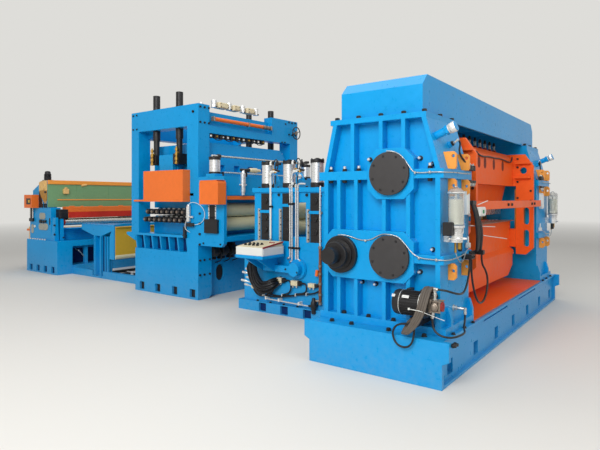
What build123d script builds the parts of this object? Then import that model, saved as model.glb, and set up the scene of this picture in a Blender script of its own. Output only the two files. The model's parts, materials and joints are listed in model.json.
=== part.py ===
"""Cut-to-length line: flying shear, roll feeder, leveller, bridge table and end shear unit.

Millimetres, +Z up. The strip runs along +X. The origin is on the floor, under the middle of
the flying shear, and -Y is the operator side.
"""
from build123d import *
import os
from math import cos, pi, radians, sin, tan

os.makedirs("parts", exist_ok=True)

# Line: heights and gaps that all machines share
pass_line = 1300.0
feed_axis_y = 260.0
running_gap = 0.3
joint_gap = 10.0

# Flying shear: base
base_length = 1350.0
base_width = 4790.0
base_height = 400.0
base_flange = 35.0
base_flange_thick = 25.0
base_end_plate = 45.0
shoulder_out = 60.0
shoulder_drop = 160.0
pocket_pitch = 705.0
pocket_count = 7
pocket_width = 130.0
pocket_height = 130.0
pocket_depth = 90.0
pocket_low = 60.0
slot_long = 900.0
slot_high = 18.0
deck_thick = 12.0
deck_margin = 30.0

# Flying shear: housings
housing_inner = 1475.0
housing_setback = 182.0
housing_left = -620.0
housing_right = 590.0
foot_height = 65.0
foot_out = 50.0
split_low = 1775.0
split_high = 1860.0
split_out = 60.0
lower_flange_low = 1015.0
lower_flange_high = 1095.0
crown_z = 2319.0
crown_left = -515.0
crown_right = 461.0
crown_flange = 50.0
rib_depth = 100.0
rib_thick = 40.0
edge_thick = 46.0
rib_low_x = (-449.0, -255.0, 45.0, 288.0)
rib_high_x = (-293.0, 12.0, 240.0)
crank_x = 112.0
crank_high_z = 1824.0
crank_low_z = 1057.0
input_x = -408.0
input_z = 1052.0
boss_half = 235.0
boss_cut = 95.0
boss_proud = 8.0
cover_radius = 196.0
cover_thick = 32.0
hub_radius = 180.0
hub_step_radius = 122.0
hub_step_long = 70.0
hub_stub_radius = 78.0
hub_stub_long = 150.0
gusset_high = 160.0
gusset_toe = 60.0
gusset_thick = 50.0
gusset_in = 130.0

# Flying shear: crown box
crown_box_left = -466.0
crown_box_right = 394.0
crown_box_in = 83.0
crown_box_side = 266.0
crown_box_bevel = 104.0
crown_wall = 30.0
crown_rib_count = 5
crown_rib_thick = 25.0
crown_rib_high = 120.0
crown_rib_pitch = 565.0

# Flying shear: knife frames
plate_inner = 1230.0
plate_thick = 50.0
column_width = 232.0
frame_half = 490.0
frame_top = 2220.0
frame_top_cut = 168.0
frame_side_cut = 115.0
frame_foot = 800.0
frame_foot_cut = 98.0
beam_half = 218.0
beam_low = 1770.0
beam_edge = 80.0
beam_slot_y = (-316.0, -82.0, 289.0, 696.0)
beam_slot_z = 2040.0
beam_slot_width = 40.0
beam_slot_long = 140.0
beam_slot_deep = 30.0
carrier_top_half = 110.0
carrier_bottom = 1392.0
lift_hole_radius = 47.0
lift_hole_x = 470.0
lift_hole_z = 1990.0
window_width = 77.0
window_low_z = 1030.0
window_high_z = 1345.0
window_long = 240.0
window_x = 509.0
plate_rib_out = 60.0
plate_rib_thick = 25.0
plate_rib_high = 2095.0
plate_rib_low = 1891.0
plate_rib_in = 32.0
blade_thick = 30.0
blade_high = 118.0
blade_gap = 5.0
cut_x = 130.0
blade_overlap = 2.0
knife_stroke = 42.0
lower_edge_drop = 10.0
lower_front = 290.0
lower_back = -66.0
lower_lip_z = 900.0
lower_lip_out = 50.0
lower_step_z = 805.0
lower_step_in = 70.0
lower_taper_z = 658.0
lower_bottom_z = 530.0
lower_bottom_in = 300.0
shoe_low = 905.0
shoe_high = 1160.0
shoe_long = 100.0
gib_x = 390.0
gib_width = 100.0
gib_low = 880.0
gib_high = 1720.0
exit_bar_low = 1480.0
exit_bar_high = 1568.0
exit_bar_thick = 40.0
exit_bracket = 20.0

# Flying shear: fittings
grease_out = 100.0
grease_in = 107.0
grease_radius = 70.0
grease_low = 1303.0
grease_high = 1652.0
grease_dome = 50.0
grease_foot_high = 88.0
grease_foot_radius = 58.0
filler_in = 113.0
filler_z = 2157.0
filler_radius = 36.0
filler_tilt = 22.0
filler_long = 150.0
filler_cap_out = 8.0
filler_cap_long = 50.0
lug_in = (213.0, 563.0)
lug_thick = 30.0
lug_out = 74.0
lug_high = 157.0
lug_low = 148.0
lug_hole_out = 47.0
lug_hole_up = 116.0
lug_hole_down = 64.0
lug_hole_radius = 16.0
lug_round = 22.0
pump_left = 235.0
pump_z = 690.0
pump_radius = 112.0
pump_clear = 30.0
pump_motor_long = 270.0
pump_bell_long = 45.0
pump_bell_out = 25.0
pump_gear_long = 120.0
pump_gear_radius = 70.0
hose_radius = 9.0
hang_radius = 10.0
fitting_radius = 15.0
fitting_wall = 1.5
clip_left = 402.0
clip_right = 468.0
clip_low = 500.0
clip_high = 545.0
clip_out = 237.0
loop_port_x = 445.0
low_port_x = 575.0
low_port_z = 580.0
high_port_x = 595.0
high_port_z = 830.0
high_port_end = 625.0
elbow_x = 699.0
elbow_y = -1900.0
elbow_low = 548.0
elbow_z = 597.0
elbow_base_radius = 28.0
manifold_reach = 715.0
manifold_left = -1765.0
manifold_right = -1675.0
manifold_low = 1030.0
manifold_high = 1075.0
tie_left = -1560.0
tie_block_left = -1382.0
tie_right = -1330.0
tie_low = 1040.0
tie_high = 1085.0
tie_thick = 16.0
tie_reach = 704.0
cable_radius = 58.0

# Roll feeder
feeder_left = -2900.0
feeder_right = -1250.0
feeder_half = 1310.0
feeder_plinth = 140.0
feeder_body_high = 900.0
feeder_body_in = 60.0
feeder_frame_left = -2642.0
feeder_frame_right = -1300.0
feeder_frame_thick = 120.0
feeder_top_low = 1680.0
feeder_top_thick = 62.0
feeder_top_out = 25.0
stand_x = (-2445.0, -2060.0, -1590.0)
stand_slot_width = 148.0
stand_slot_low = 1010.0
stand_slot_high = 1665.0
roll_radius = 110.0
roll_neck_radius = 45.0
air_radius = 85.0
air_cap_out = 7.0
air_foot_high = 61.0
air_cap_high = 46.0
air_long = 261.0
chock_gap = 4.0
chock_wall = 30.0
keeper_z = (1390.0, 1480.0, 1390.0)
keeper_high = 40.0
keeper_thick = 12.0
keeper_over = 20.0
feeder_window_left = -1975.0
feeder_window_right = -1735.0
feeder_window_low = 1077.0
feeder_window_high = 1540.0
edge_strip_width = 32.0
edge_strip_gap = 22.0
edge_strip_low = 1010.0
edge_strip_high = 1452.0
edge_strip_thick = 10.0
roll_nip = 6.0

desk_left = -2523.0
desk_right = -2055.0
desk_reach = 450.0
desk_gap = 12.0
desk_low = 800.0
desk_high = 952.0
desk_tray = 28.0
desk_arm_in = 130.0
desk_arm_low = 600.0
desk_arm_high = 90.0
desk_arm_out = 35.0
desk_boss_x = -1858.0
desk_boss_z = 646.0
desk_boss_radius = 130.0

# Leveller
lev_left = -5496.0
lev_right = -3784.0
lev_set_in = 20.0
lev_half = feeder_half - lev_set_in
lev_column_x = 259.0
lev_column_left_x = 205.0
lev_column_y = 240.0
lev_foot_y = 290.0
lev_foot_cut = 65.0
lev_shelf_out = 145.0
lev_shelf_drop = 100.0
lev_base_left = -5390.0
lev_base_high = 736.0
lev_table_high = 960.0
lev_table_thick = 40.0
lev_side_in = 110.0
lev_port_y = -452.0
lev_port_z = 368.0
lev_port_width = 171.0
lev_port_high = 266.0
lev_port_deep = 320.0
lev_top_low = 2745.0
lev_top_high = 3085.0
lev_girder_low = 2640.0
lev_girder_flange = 125.0
lev_girder_thick = 190.0
lev_girder_in = 90.0
lev_pocket_first = -5202.0
lev_pocket_pitch = 428.0
lev_pocket_count = 4
lev_block_y = 770.0
corbel_long = 260.0
corbel_high = 110.0
lev_gusset_count = 7
lev_gusset_thick = 30.0
lev_cover_left = -4959.0
lev_cover_right = -3971.0
lev_cover_low = 1540.0
lev_cover_high = 2045.0
lev_cover_out = 150.0
beam_cassette_low = 1430.0
beam_cassette_high = 2500.0
cassette_cut = 170.0
cassette_side_in = 70.0
cassette_end_gap = 40.0
cassette_pocket_pitch = 350.0
cassette_pocket_count = 5
cassette_pocket_z = 2095.0
cassette_pocket_width = 130.0
cassette_pocket_high = 102.0
cassette_pocket_deep = 60.0
screw_radius = 50.0
screw_sleeve_radius = 62.0
screw_sleeve_long = 170.0
screw_cap_radius = 59.0
screw_cap_long = 255.0
screw_arm_half = 75.0
cassette_lift = 60.0
screw_x = (-4956.0, -4365.0)
work_roll_radius = 60.0
work_roll_pitch = 130.0
work_roll_count = 8
work_neck_radius = 32.0
work_neck_long = 150.0
end_block_in = 90.0
end_block_low = 1990.0
end_block_high = 2290.0
lower_cassette_in = 60.0
pinch_left = lev_right
pinch_ahead = 316.0
pinch_x = lev_right + pinch_ahead
pinch_right_out = 249.0
pinch_right = pinch_x + pinch_right_out
pinch_low = 858.0
pinch_high = 1929.0
pinch_cut = 55.0
pinch_thick = 60.0
pinch_slot_width = 146.0
pinch_slot_low = 1064.0
pinch_slot_high = 1493.0
pinch_chock_half = 141.0
pinch_chock_out = 40.0
pinch_chock_high = 211.0
pinch_cover_left_out = 107.0
pinch_cover_right_out = 292.0
pinch_cover_low = 1504.0
pinch_cover_high = 1861.0
pinch_cover_out = 170.0
pinch_cover_round = 45.0
pinch_beam_in = 84.0
pinch_beam_low = 1782.0
pinch_rail_low = 939.0
pinch_rail_high = 1015.0
pinch_apron_low = 1640.0
pinch_apron_thick = 30.0
pinch_seat_high = 44.0
pinch_air_in = 95.0
pinch_air_left = 46.0
pinch_air_foot = 30.0
pinch_air_high = 185.0
wiper_low = 1575.0
wiper_high = 1631.0
wiper_thick = 40.0

# Bridge over the strip loop
bridge_post_x = -7120.0
bridge_post_y = -551.0
bridge_post_width = 250.0
bridge_post_high = 840.0
bridge_flange_thick = 40.0
bridge_web_thick = 90.0
bridge_foot_out = 60.0
bridge_foot_thick = 40.0
bridge_head_high = 230.0
bridge_head_left = -7701.0
bridge_head_right = -6642.0
bridge_upright_left = -6712.0
bridge_upright_right = -6562.0
bridge_upright_low = 400.0
bridge_rib_thick = 24.0
table_thick = 25.0
table_top_in = 30.0
table_edge_radius = 34.0
sill_high = 140.0
sill_width = 90.0

# End unit
end_left = -9360.0
end_right = -8070.0
end_front = -1000.0
end_base_high = 700.0
end_step = 40.0
end_frame_in = 50.0
end_frame_right = -8420.0
end_wall_thick = 210.0
end_arm_high = 1390.0
end_slope_left = -9195.0
end_slope_low = 1763.0
end_crest_left = -8750.0
end_crest_right = -8573.0
end_crest_high = 1979.0
end_beam_low = 1700.0
end_pedestal_left = -9620.0
end_pedestal_in = 150.0
end_pedestal_high = 540.0
end_shelf_left = -9685.0
end_shelf_low = 860.0
end_shelf_thick = 40.0
end_leg_left = -9560.0
end_leg_width = 60.0
end_roll_radius = 75.0
end_neck_radius = 40.0
end_roll_x = -8345.0
end_roll_z = 1085.0
end_pocket_pitch = 309.0
end_recess_deep = 420.0
end_recess_low = 175.0
end_recess_high = 580.0
end_recess_in = 330.0
end_panel_out = 150.0
end_panel_left = -9279.0
end_panel_right = -8940.0
end_panel_low = 1385.0
end_panel_high = 1670.0
end_bracket_right = -8270.0
end_bracket_high = 1187.0
end_bracket_wide = 95.0
end_bracket_taper = 20.0
chute_run = 330.0
chute_drop = 270.0
chute_thick = 16.0
chute_radius = 160.0
scrub_thick = 150.0
scrub_low = 1190.0
scrub_high = 1352.0
end_disc_radius = 75.0
end_disc_z = 1856.0
end_disc_x = -8665.0
end_disc_thick = 50.0


def prism(plane, points, amount, mode=Mode.ADD):
    """Closed outline drawn on a plane, pushed along the plane's normal."""
    with BuildSketch(plane) as outline:
        with BuildLine():
            Polyline(*points, close=True)
        make_face()
    extrude(outline.sketch, amount=amount, mode=mode)


def along_y(y_from, y_to):
    """Plane whose outline is X and Z, at the far end of a span along Y, and the span."""
    return Plane.XZ.offset(-max(y_from, y_to)), abs(y_to - y_from)


def plate_y(points, y_from, y_to, mode=Mode.ADD):
    """Plate with an X-Z outline between two Y values."""
    plane, amount = along_y(y_from, y_to)
    prism(plane, points, amount, mode)


def plate_x(points, x_from, x_to, mode=Mode.ADD):
    """Plate with a Y-Z outline between two X values."""
    prism(Plane.YZ.offset(min(x_from, x_to)), points, abs(x_to - x_from), mode)


def plate_z(points, z_from, z_to, mode=Mode.ADD):
    """Plate with an X-Y outline between two heights."""
    prism(Plane.XY.offset(min(z_from, z_to)), points, abs(z_to - z_from), mode)


def rectangle(a_from, a_to, b_from, b_to):
    """Corner points of a rectangle."""
    return [(a_from, b_from), (a_to, b_from), (a_to, b_to), (a_from, b_to)]


def bar_y(centres, radius, y_from, y_to, mode=Mode.ADD):
    """Round bars along Y through the given X-Z centres."""
    plane, amount = along_y(y_from, y_to)
    with BuildSketch(plane) as discs:
        with Locations(*centres):
            Circle(radius)
    extrude(discs.sketch, amount=amount, mode=mode)


def bar_z(centres, radius, z_from, z_to, mode=Mode.ADD):
    """Round bars along Z through the given X-Y centres."""
    with BuildSketch(Plane.XY.offset(min(z_from, z_to))) as discs:
        with Locations(*centres):
            Circle(radius)
    extrude(discs.sketch, amount=abs(z_to - z_from), mode=mode)


def slot_y(centre, width, length, y_from, y_to, mode=Mode.SUBTRACT):
    """Upright round-ended slot through a plate that faces along Y."""
    plane, amount = along_y(y_from, y_to)
    with BuildSketch(plane) as slot:
        with Locations(centre):
            SlotOverall(length, width, rotation=90)
    extrude(slot.sketch, amount=amount, mode=mode)


def keep(builder, label):
    """Name a finished piece and write its file."""
    builder.part.label = label
    export_step(builder.part, "parts/" + label + ".step")


# Derived sizes of the flying shear
half_base = base_length / 2
base_end_y = base_width / 2
housing_foot = base_height + foot_height
housing_outer = base_end_y - housing_setback
wall_y = housing_outer - rib_depth
crown_top = crown_z + crown_flange
upper_edge_z = pass_line - lower_edge_drop + 2 * knife_stroke - blade_overlap
lower_edge_z = pass_line - lower_edge_drop

# Base of the flying shear: flanged box with lifting pockets along both long sides
with BuildPart() as shear_base:
    i_section = [
        (-half_base, 0), (half_base, 0), (half_base, base_flange_thick),
        (half_base - base_flange, base_flange_thick),
        (half_base - base_flange, base_height - base_flange_thick),
        (half_base, base_height - base_flange_thick), (half_base, base_height),
        (-half_base, base_height), (-half_base, base_height - base_flange_thick),
        (-half_base + base_flange, base_height - base_flange_thick),
        (-half_base + base_flange, base_flange_thick), (-half_base, base_flange_thick),
    ]
    plate_y(i_section, -base_end_y, base_end_y)
    shoulder_z = base_height - shoulder_drop
    end_outline = [
        (-half_base, 0), (half_base, 0), (half_base, shoulder_z - shoulder_out / 2),
        (half_base + shoulder_out, shoulder_z), (half_base + shoulder_out, base_height),
        (-half_base - shoulder_out, base_height), (-half_base - shoulder_out, shoulder_z),
        (-half_base, shoulder_z - shoulder_out / 2),
    ]
    for side in (-1, 1):
        plate_y(end_outline, side * base_end_y, side * (base_end_y - base_end_plate))
    pocket_z = pocket_low + pocket_height / 2
    with Locations((0, 0, pocket_z)):
        with GridLocations(base_length - 2 * base_flange, pocket_pitch, 2, pocket_count):
            Box(2 * pocket_depth, pocket_width, pocket_height, mode=Mode.SUBTRACT)
    slot_z = base_height - base_flange_thick - 2 * slot_high
    with Locations((0, 0, slot_z)):
        with GridLocations(base_length - 2 * base_flange, 2 * pocket_pitch, 2, 2):
            Box(2 * slot_high, slot_long, slot_high, mode=Mode.SUBTRACT)
keep(shear_base, "shear_base")

# Orange deck plate between the housings
with BuildPart() as shear_deck:
    plate_z(
        rectangle(-half_base + deck_margin, half_base - deck_margin,
                  -housing_inner + joint_gap, housing_inner - joint_gap),
        base_height, base_height + deck_thick,
    )
keep(shear_deck, "shear_deck")


def housing_side(side, label):
    """One cast housing: foot, lower box, split flange, sloped crown, ribs and bosses."""
    inner = side * housing_inner
    wall = side * wall_y
    face = side * housing_outer
    left = housing_left
    right = housing_right
    with BuildPart() as housing:
        # Closed body behind the ribs
        plate_y(rectangle(left, right, housing_foot, split_low), inner, wall)
        crown = [(left, split_high), (right, split_high), (crown_right, crown_z), (crown_left, crown_z)]
        plate_y(crown, inner, wall)
        # Foot, split and crown flanges reach out to the rib fronts
        plate_y(rectangle(left - foot_out, right + foot_out, base_height, housing_foot), inner, face)
        plate_y(rectangle(left - split_out, right + split_out / 2, split_low, split_high), inner, face)
        plate_y(rectangle(crown_left - split_out / 2, crown_right, crown_z, crown_top), inner, face)
        # Short flange between the lower boss and the exit side
        plate_y(rectangle(crank_x + boss_half, right + split_out / 2, lower_flange_low, lower_flange_high), inner, face)
        # Edge frames and upright ribs
        edges = rectangle(left, left + edge_thick, housing_foot, split_low)
        plate_y(edges, wall, face)
        edges = rectangle(right - edge_thick, right, housing_foot, split_low)
        plate_y(edges, wall, face)
        plate_y(crown, wall, face)
        inside = [
            (left + edge_thick, split_high), (right - edge_thick, split_high),
            (crown_right - edge_thick, crown_z), (crown_left + edge_thick, crown_z),
        ]
        plate_y(inside, wall, face, Mode.SUBTRACT)
        for rib_x in rib_low_x:
            plate_y(rectangle(rib_x - rib_thick / 2, rib_x + rib_thick / 2, housing_foot, split_low), wall, face)
        for rib_x in rib_high_x:
            plate_y(rectangle(rib_x - rib_thick / 2, rib_x + rib_thick / 2, split_high, crown_z), wall, face)
        # Gussets stand on the foot at the exit side, at the outer edge and at the knife frame
        gusset = [
            (right, housing_foot), (right + foot_out, housing_foot), (right + foot_out, housing_foot + gusset_toe),
            (right + gusset_toe / 3, housing_foot + gusset_high), (right, housing_foot + gusset_high),
        ]
        for start_y in (housing_outer - gusset_in, housing_inner + gusset_thick):
            plate_y(gusset, side * start_y, side * (start_y - gusset_thick))
        # Boss plates with cut corners round the shaft covers
        proud = side * (housing_outer + boss_proud)
        for x_from, x_to, z_mid in (
            (crank_x - boss_half, crank_x + boss_half, crank_high_z),
            (input_x - hub_radius - edge_thick / 2, crank_x + boss_half, crank_low_z),
        ):
            low = z_mid - boss_half
            high = z_mid + boss_half
            boss = [
                (x_from + boss_cut, low), (x_to - boss_cut, low), (x_to, low + boss_cut),
                (x_to, high - boss_cut), (x_to - boss_cut, high), (x_from + boss_cut, high),
                (x_from, high - boss_cut), (x_from, low + boss_cut),
            ]
            plate_y(boss, wall, proud)
    keep(housing, label)


housing_side(-1, "near_housing")
housing_side(1, "far_housing")

# Round covers that close the crank bearings, and the blind cover behind the input
cover_y = housing_outer + boss_proud
with BuildPart() as bearing_covers:
    for side in (-1, 1):
        centres = [(crank_x, crank_high_z), (crank_x, crank_low_z)]
        bar_y(centres, cover_radius, side * cover_y, side * (cover_y + cover_thick))
    bar_y([(input_x, input_z)], hub_radius, cover_y, cover_y + cover_thick)
keep(bearing_covers, "bearing_covers")

# Stepped input hub with the bare shaft end, on the operator side
with BuildPart() as input_hub:
    hub_profile = [
        (0, 0), (hub_radius, 0), (hub_radius, cover_thick), (hub_step_radius, cover_thick + boss_proud),
        (hub_step_radius, cover_thick + hub_step_long), (hub_stub_radius, cover_thick + hub_step_long),
        (hub_stub_radius, cover_thick + hub_step_long + hub_stub_long),
        (0, cover_thick + hub_step_long + hub_stub_long),
    ]
    hub_plane = Plane(origin=(input_x, -cover_y, input_z), x_dir=(1, 0, 0), z_dir=(0, 0, 1))
    with BuildSketch(hub_plane) as hub_sketch:
        with BuildLine():
            Polyline(*[(radius, -out) for radius, out in hub_profile], close=True)
        make_face()
    revolve(hub_sketch.sketch, axis=Axis((input_x, -cover_y, input_z), (0, 1, 0)))
keep(input_hub, "input_hub")

# Crown box: bevelled girder over both housings, open below between them and cross-ribbed
with BuildPart() as crown_box:
    half_crown = housing_outer - crown_box_in
    crown_low = crown_top
    crown_shoulder = crown_low + crown_box_side
    crown_high = crown_shoulder + crown_box_bevel
    plate_x(
        [(-half_crown, crown_low), (half_crown, crown_low), (half_crown, crown_shoulder),
         (half_crown - crown_box_bevel, crown_high), (-half_crown + crown_box_bevel, crown_high),
         (-half_crown, crown_shoulder)],
        crown_box_left, crown_box_right,
    )
    bay_half = housing_inner - joint_gap
    plate_z(
        rectangle(crown_box_left + crown_wall, crown_box_right - crown_wall, -bay_half, bay_half),
        crown_low, crown_shoulder, Mode.SUBTRACT,
    )
    for index in range(crown_rib_count):
        rib_y = (index - (crown_rib_count - 1) / 2) * crown_rib_pitch
        plate_y(
            rectangle(crown_box_left + crown_wall, crown_box_right - crown_wall,
                      crown_shoulder - crown_rib_high, crown_shoulder),
            rib_y - crown_rib_thick / 2, rib_y + crown_rib_thick / 2,
        )
keep(crown_box, "crown_box")

# Upper knife frame: two portal side plates joined by the upper beam and its knife carrier
with BuildPart() as upper_knife_frame:
    front = crank_x + frame_half
    back = crank_x - frame_half
    front_in = front - column_width
    back_in = back + column_width
    portal = [
        (front, frame_foot + frame_foot_cut), (front - frame_foot_cut, frame_foot), (front_in, frame_foot),
        (front_in, beam_low), (back_in, beam_low), (back_in, frame_foot),
        (back + frame_foot_cut, frame_foot), (back, frame_foot + frame_foot_cut),
        (back, frame_top - frame_top_cut), (back + frame_side_cut, frame_top),
        (front - frame_side_cut, frame_top), (front, frame_top - frame_top_cut),
    ]
    beam_outline = [
        (crank_x - beam_half, beam_low), (crank_x - carrier_top_half, beam_low),
        (cut_x - 2 * blade_thick, carrier_bottom), (cut_x, carrier_bottom),
        (cut_x, upper_edge_z + blade_high), (cut_x + blade_thick, upper_edge_z + blade_high),
        (crank_x + carrier_top_half, beam_low), (crank_x + beam_half, beam_low),
        (crank_x + beam_half, frame_top - beam_edge), (crank_x + beam_half - beam_edge, frame_top),
        (crank_x - beam_half + beam_edge, frame_top), (crank_x - beam_half, frame_top - beam_edge),
    ]
    plate_y(beam_outline, -plate_inner, plate_inner)
    # Oval pockets in the exit face of the beam
    beam_face = crank_x + beam_half
    with BuildSketch(Plane.YZ.offset(beam_face - beam_slot_deep)) as beam_slots:
        with Locations(*[(slot_at, beam_slot_z) for slot_at in beam_slot_y]):
            SlotOverall(beam_slot_long, beam_slot_width, rotation=90)
    extrude(beam_slots.sketch, amount=beam_slot_deep, mode=Mode.SUBTRACT)
    for side in (-1, 1):
        plate_y(portal, side * plate_inner, side * (plate_inner + plate_thick))
        for window_z in (window_low_z, window_high_z):
            for window in (window_x, 2 * crank_x - window_x):
                slot_y((window, window_z), window_width, window_long,
                       side * plate_inner, side * (plate_inner + plate_thick))
        bar_y([(lift_hole_x, lift_hole_z), (2 * crank_x - lift_hole_x, lift_hole_z)], lift_hole_radius,
              side * plate_inner, side * (plate_inner + plate_thick), Mode.SUBTRACT)
        # Stiffening ribs above and below each lifting hole, on both faces of the plate
        for rib_z in (plate_rib_low, plate_rib_high):
            for x_in, x_out in ((front_in, front - plate_rib_in), (back_in, back + plate_rib_in)):
                rib = rectangle(min(x_in, x_out), max(x_in, x_out), rib_z - plate_rib_thick / 2,
                                rib_z + plate_rib_thick / 2)
                plate_y(rib, side * plate_inner, side * (plate_inner - plate_rib_out))
                plate_y(rib, side * (plate_inner + plate_thick), side * (plate_inner + plate_thick + plate_rib_out))
keep(upper_knife_frame, "upper_knife_frame")

# Upper knife, held against the front of its carrier
with BuildPart() as upper_knife:
    plate_y(
        rectangle(cut_x, cut_x + blade_thick, upper_edge_z, upper_edge_z + blade_high),
        -plate_inner + joint_gap, plate_inner - joint_gap,
    )
keep(upper_knife, "upper_knife")

# Lower knife beam: stepped and tapered ends, sloped lip on the exit side
with BuildPart() as lower_knife_beam:
    lower_end = plate_inner - running_gap
    seat_x = cut_x - blade_gap
    lower_top = lower_edge_z - lower_edge_drop
    lower_outline = [
        (lower_back, lower_bottom_z), (lower_front + lower_lip_out, lower_bottom_z),
        (lower_front + lower_lip_out, lower_lip_z - lower_lip_out), (lower_front, lower_lip_z),
        (lower_front, lower_top), (seat_x, lower_top), (seat_x, lower_edge_z - blade_high),
        (seat_x - blade_thick, lower_edge_z - blade_high), (seat_x - blade_thick, lower_top),
        (lower_back, lower_top),
    ]
    plate_y(lower_outline, -lower_end, lower_end)
    for side in (-1, 1):
        corner = [
            (side * lower_end, lower_step_z), (side * (lower_end - lower_step_in), lower_step_z),
            (side * (lower_end - lower_step_in), lower_taper_z),
            (side * (lower_end - lower_bottom_in), lower_bottom_z), (side * lower_end, lower_bottom_z),
        ]
        plate_x(corner, lower_back, lower_front + lower_lip_out, Mode.SUBTRACT)
        # Guide shoes run between the columns of the portal
        shoe_end = plate_inner + plate_thick
        plate_y(rectangle(back_in + running_gap, front_in - running_gap, shoe_low, shoe_high),
                side * (shoe_end - shoe_long), side * shoe_end)
keep(lower_knife_beam, "lower_knife_beam")

# Lower knife in the slot of its beam
with BuildPart() as lower_knife:
    plate_y(
        rectangle(seat_x - blade_thick, seat_x, lower_edge_z - blade_high, lower_edge_z),
        -plate_inner + joint_gap, plate_inner - joint_gap,
    )
keep(lower_knife, "lower_knife")

# Guide gibs on the housings, a running gap from the portal plates
with BuildPart() as knife_gibs:
    for side in (-1, 1):
        for x_mid in (gib_x, 2 * crank_x - gib_x):
            plate_y(
                rectangle(x_mid - gib_width / 2, x_mid + gib_width / 2, gib_low, gib_high),
                side * (plate_inner + plate_thick + running_gap), side * housing_inner,
            )
keep(knife_gibs, "knife_gibs")

# Exit guide bar in front of the portal, with its end brackets on the housings
with BuildPart() as exit_bar:
    bar_x = crank_x + frame_half + joint_gap
    plate_y(rectangle(bar_x, bar_x + exit_bar_thick, exit_bar_low, exit_bar_high), -housing_inner, housing_inner)
    for side in (-1, 1):
        plate_y(
            rectangle(bar_x - 2 * exit_bar_thick, bar_x + exit_bar_thick, exit_bar_low, exit_bar_high),
            side * housing_inner, side * (housing_inner - exit_bracket),
        )
keep(exit_bar, "exit_bar")

# Grease reservoir beside each housing, with its low dome
grease_y = housing_outer - grease_in
grease_x = housing_right + grease_out
with BuildPart() as grease_pumps:
    for side in (-1, 1):
        reservoir_plane = Plane(origin=(grease_x, side * grease_y, 0), x_dir=(1, 0, 0), z_dir=(0, -1, 0))
        with BuildSketch(reservoir_plane) as reservoir:
            with BuildLine():
                Polyline(
                    (0, grease_low), (grease_radius, grease_low), (grease_radius, grease_high),
                    (grease_radius / 2, grease_high + grease_dome / 2), (grease_radius / 3, grease_high + grease_dome),
                    (0, grease_high + grease_dome), close=True,
                )
            make_face()
        revolve(reservoir.sketch, axis=Axis((grease_x, side * grease_y, 0), (0, 0, 1)))
keep(grease_pumps, "grease_pumps")

# Pump foot under each reservoir, on a bracket from the housing
with BuildPart() as grease_feet:
    for side in (-1, 1):
        bar_z([(grease_x, side * grease_y)], grease_foot_radius, grease_low - grease_foot_high, grease_low)
        plate_z(
            rectangle(housing_right, grease_x, side * grease_y - grease_foot_radius / 2,
                      side * grease_y + grease_foot_radius / 2),
            grease_low - grease_foot_high, grease_low,
        )
keep(grease_feet, "grease_feet")

# Oil fillers: slanted spouts on the sloping crown sides, with a wider cap
with BuildPart() as oil_fillers:
    crown_slope = (housing_right - crown_right) / (crown_z - split_high)
    filler_x = housing_right - (filler_z - split_high) * crown_slope
    filler_y = housing_outer - filler_in
    for side in (-1, 1):
        filler_plane = Plane(
            origin=(filler_x, side * filler_y, filler_z),
            z_dir=(cos(radians(filler_tilt)), 0, sin(radians(filler_tilt))),
        )
        with BuildSketch(filler_plane.offset(-filler_radius)) as spout:
            Circle(filler_radius)
        extrude(spout.sketch, amount=filler_long + filler_radius)
        with BuildSketch(filler_plane.offset(filler_long)) as cap:
            Circle(filler_radius + filler_cap_out)
        extrude(cap.sketch, amount=filler_cap_long)
    # The spout ends on the sloped side of the crown
    slope_cut = [
        (housing_right, split_high), (crown_right, crown_z), (crown_left, crown_z), (crown_left, split_high),
    ]
    plate_y(slope_cut, -housing_outer, housing_outer, Mode.SUBTRACT)
keep(oil_fillers, "oil_fillers")

# Lifting lugs on the exit side of both housings, above and below the split and below the lower flange
with BuildPart() as lifting_lugs:
    lug_reach = housing_right + lug_out
    lug_root = housing_right - lug_high * crown_slope
    upper_lug = [
        (housing_right, split_high), (lug_reach - lug_round / 2, split_high), (lug_reach, split_high + lug_round),
        (lug_reach, split_high + lug_high - lug_round), (lug_reach - lug_round, split_high + lug_high),
        (lug_root, split_high + lug_high),
    ]
    hole_x = housing_right + lug_hole_out
    lug_holes = [(hole_x, split_high + lug_hole_up)]
    lower_lugs = []
    for flange_z in (split_low, lower_flange_low):
        lower_lugs.append([
            (housing_right, flange_z - lug_low), (lug_reach - lug_round, flange_z - lug_low),
            (lug_reach, flange_z - lug_low + lug_round), (lug_reach, flange_z - lug_round),
            (lug_reach - lug_round, flange_z), (housing_right, flange_z),
        ])
        lug_holes.append((hole_x, flange_z - lug_hole_down))
    for side in (-1, 1):
        for inward in lug_in:
            y_from = side * (housing_outer - inward)
            y_to = side * (housing_outer - inward + lug_thick)
            plate_y(upper_lug, y_from, y_to)
            for lower_lug in lower_lugs:
                plate_y(lower_lug, y_from, y_to)
            bar_y(lug_holes, lug_hole_radius, y_from, y_to, Mode.SUBTRACT)
keep(lifting_lugs, "lifting_lugs")

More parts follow.
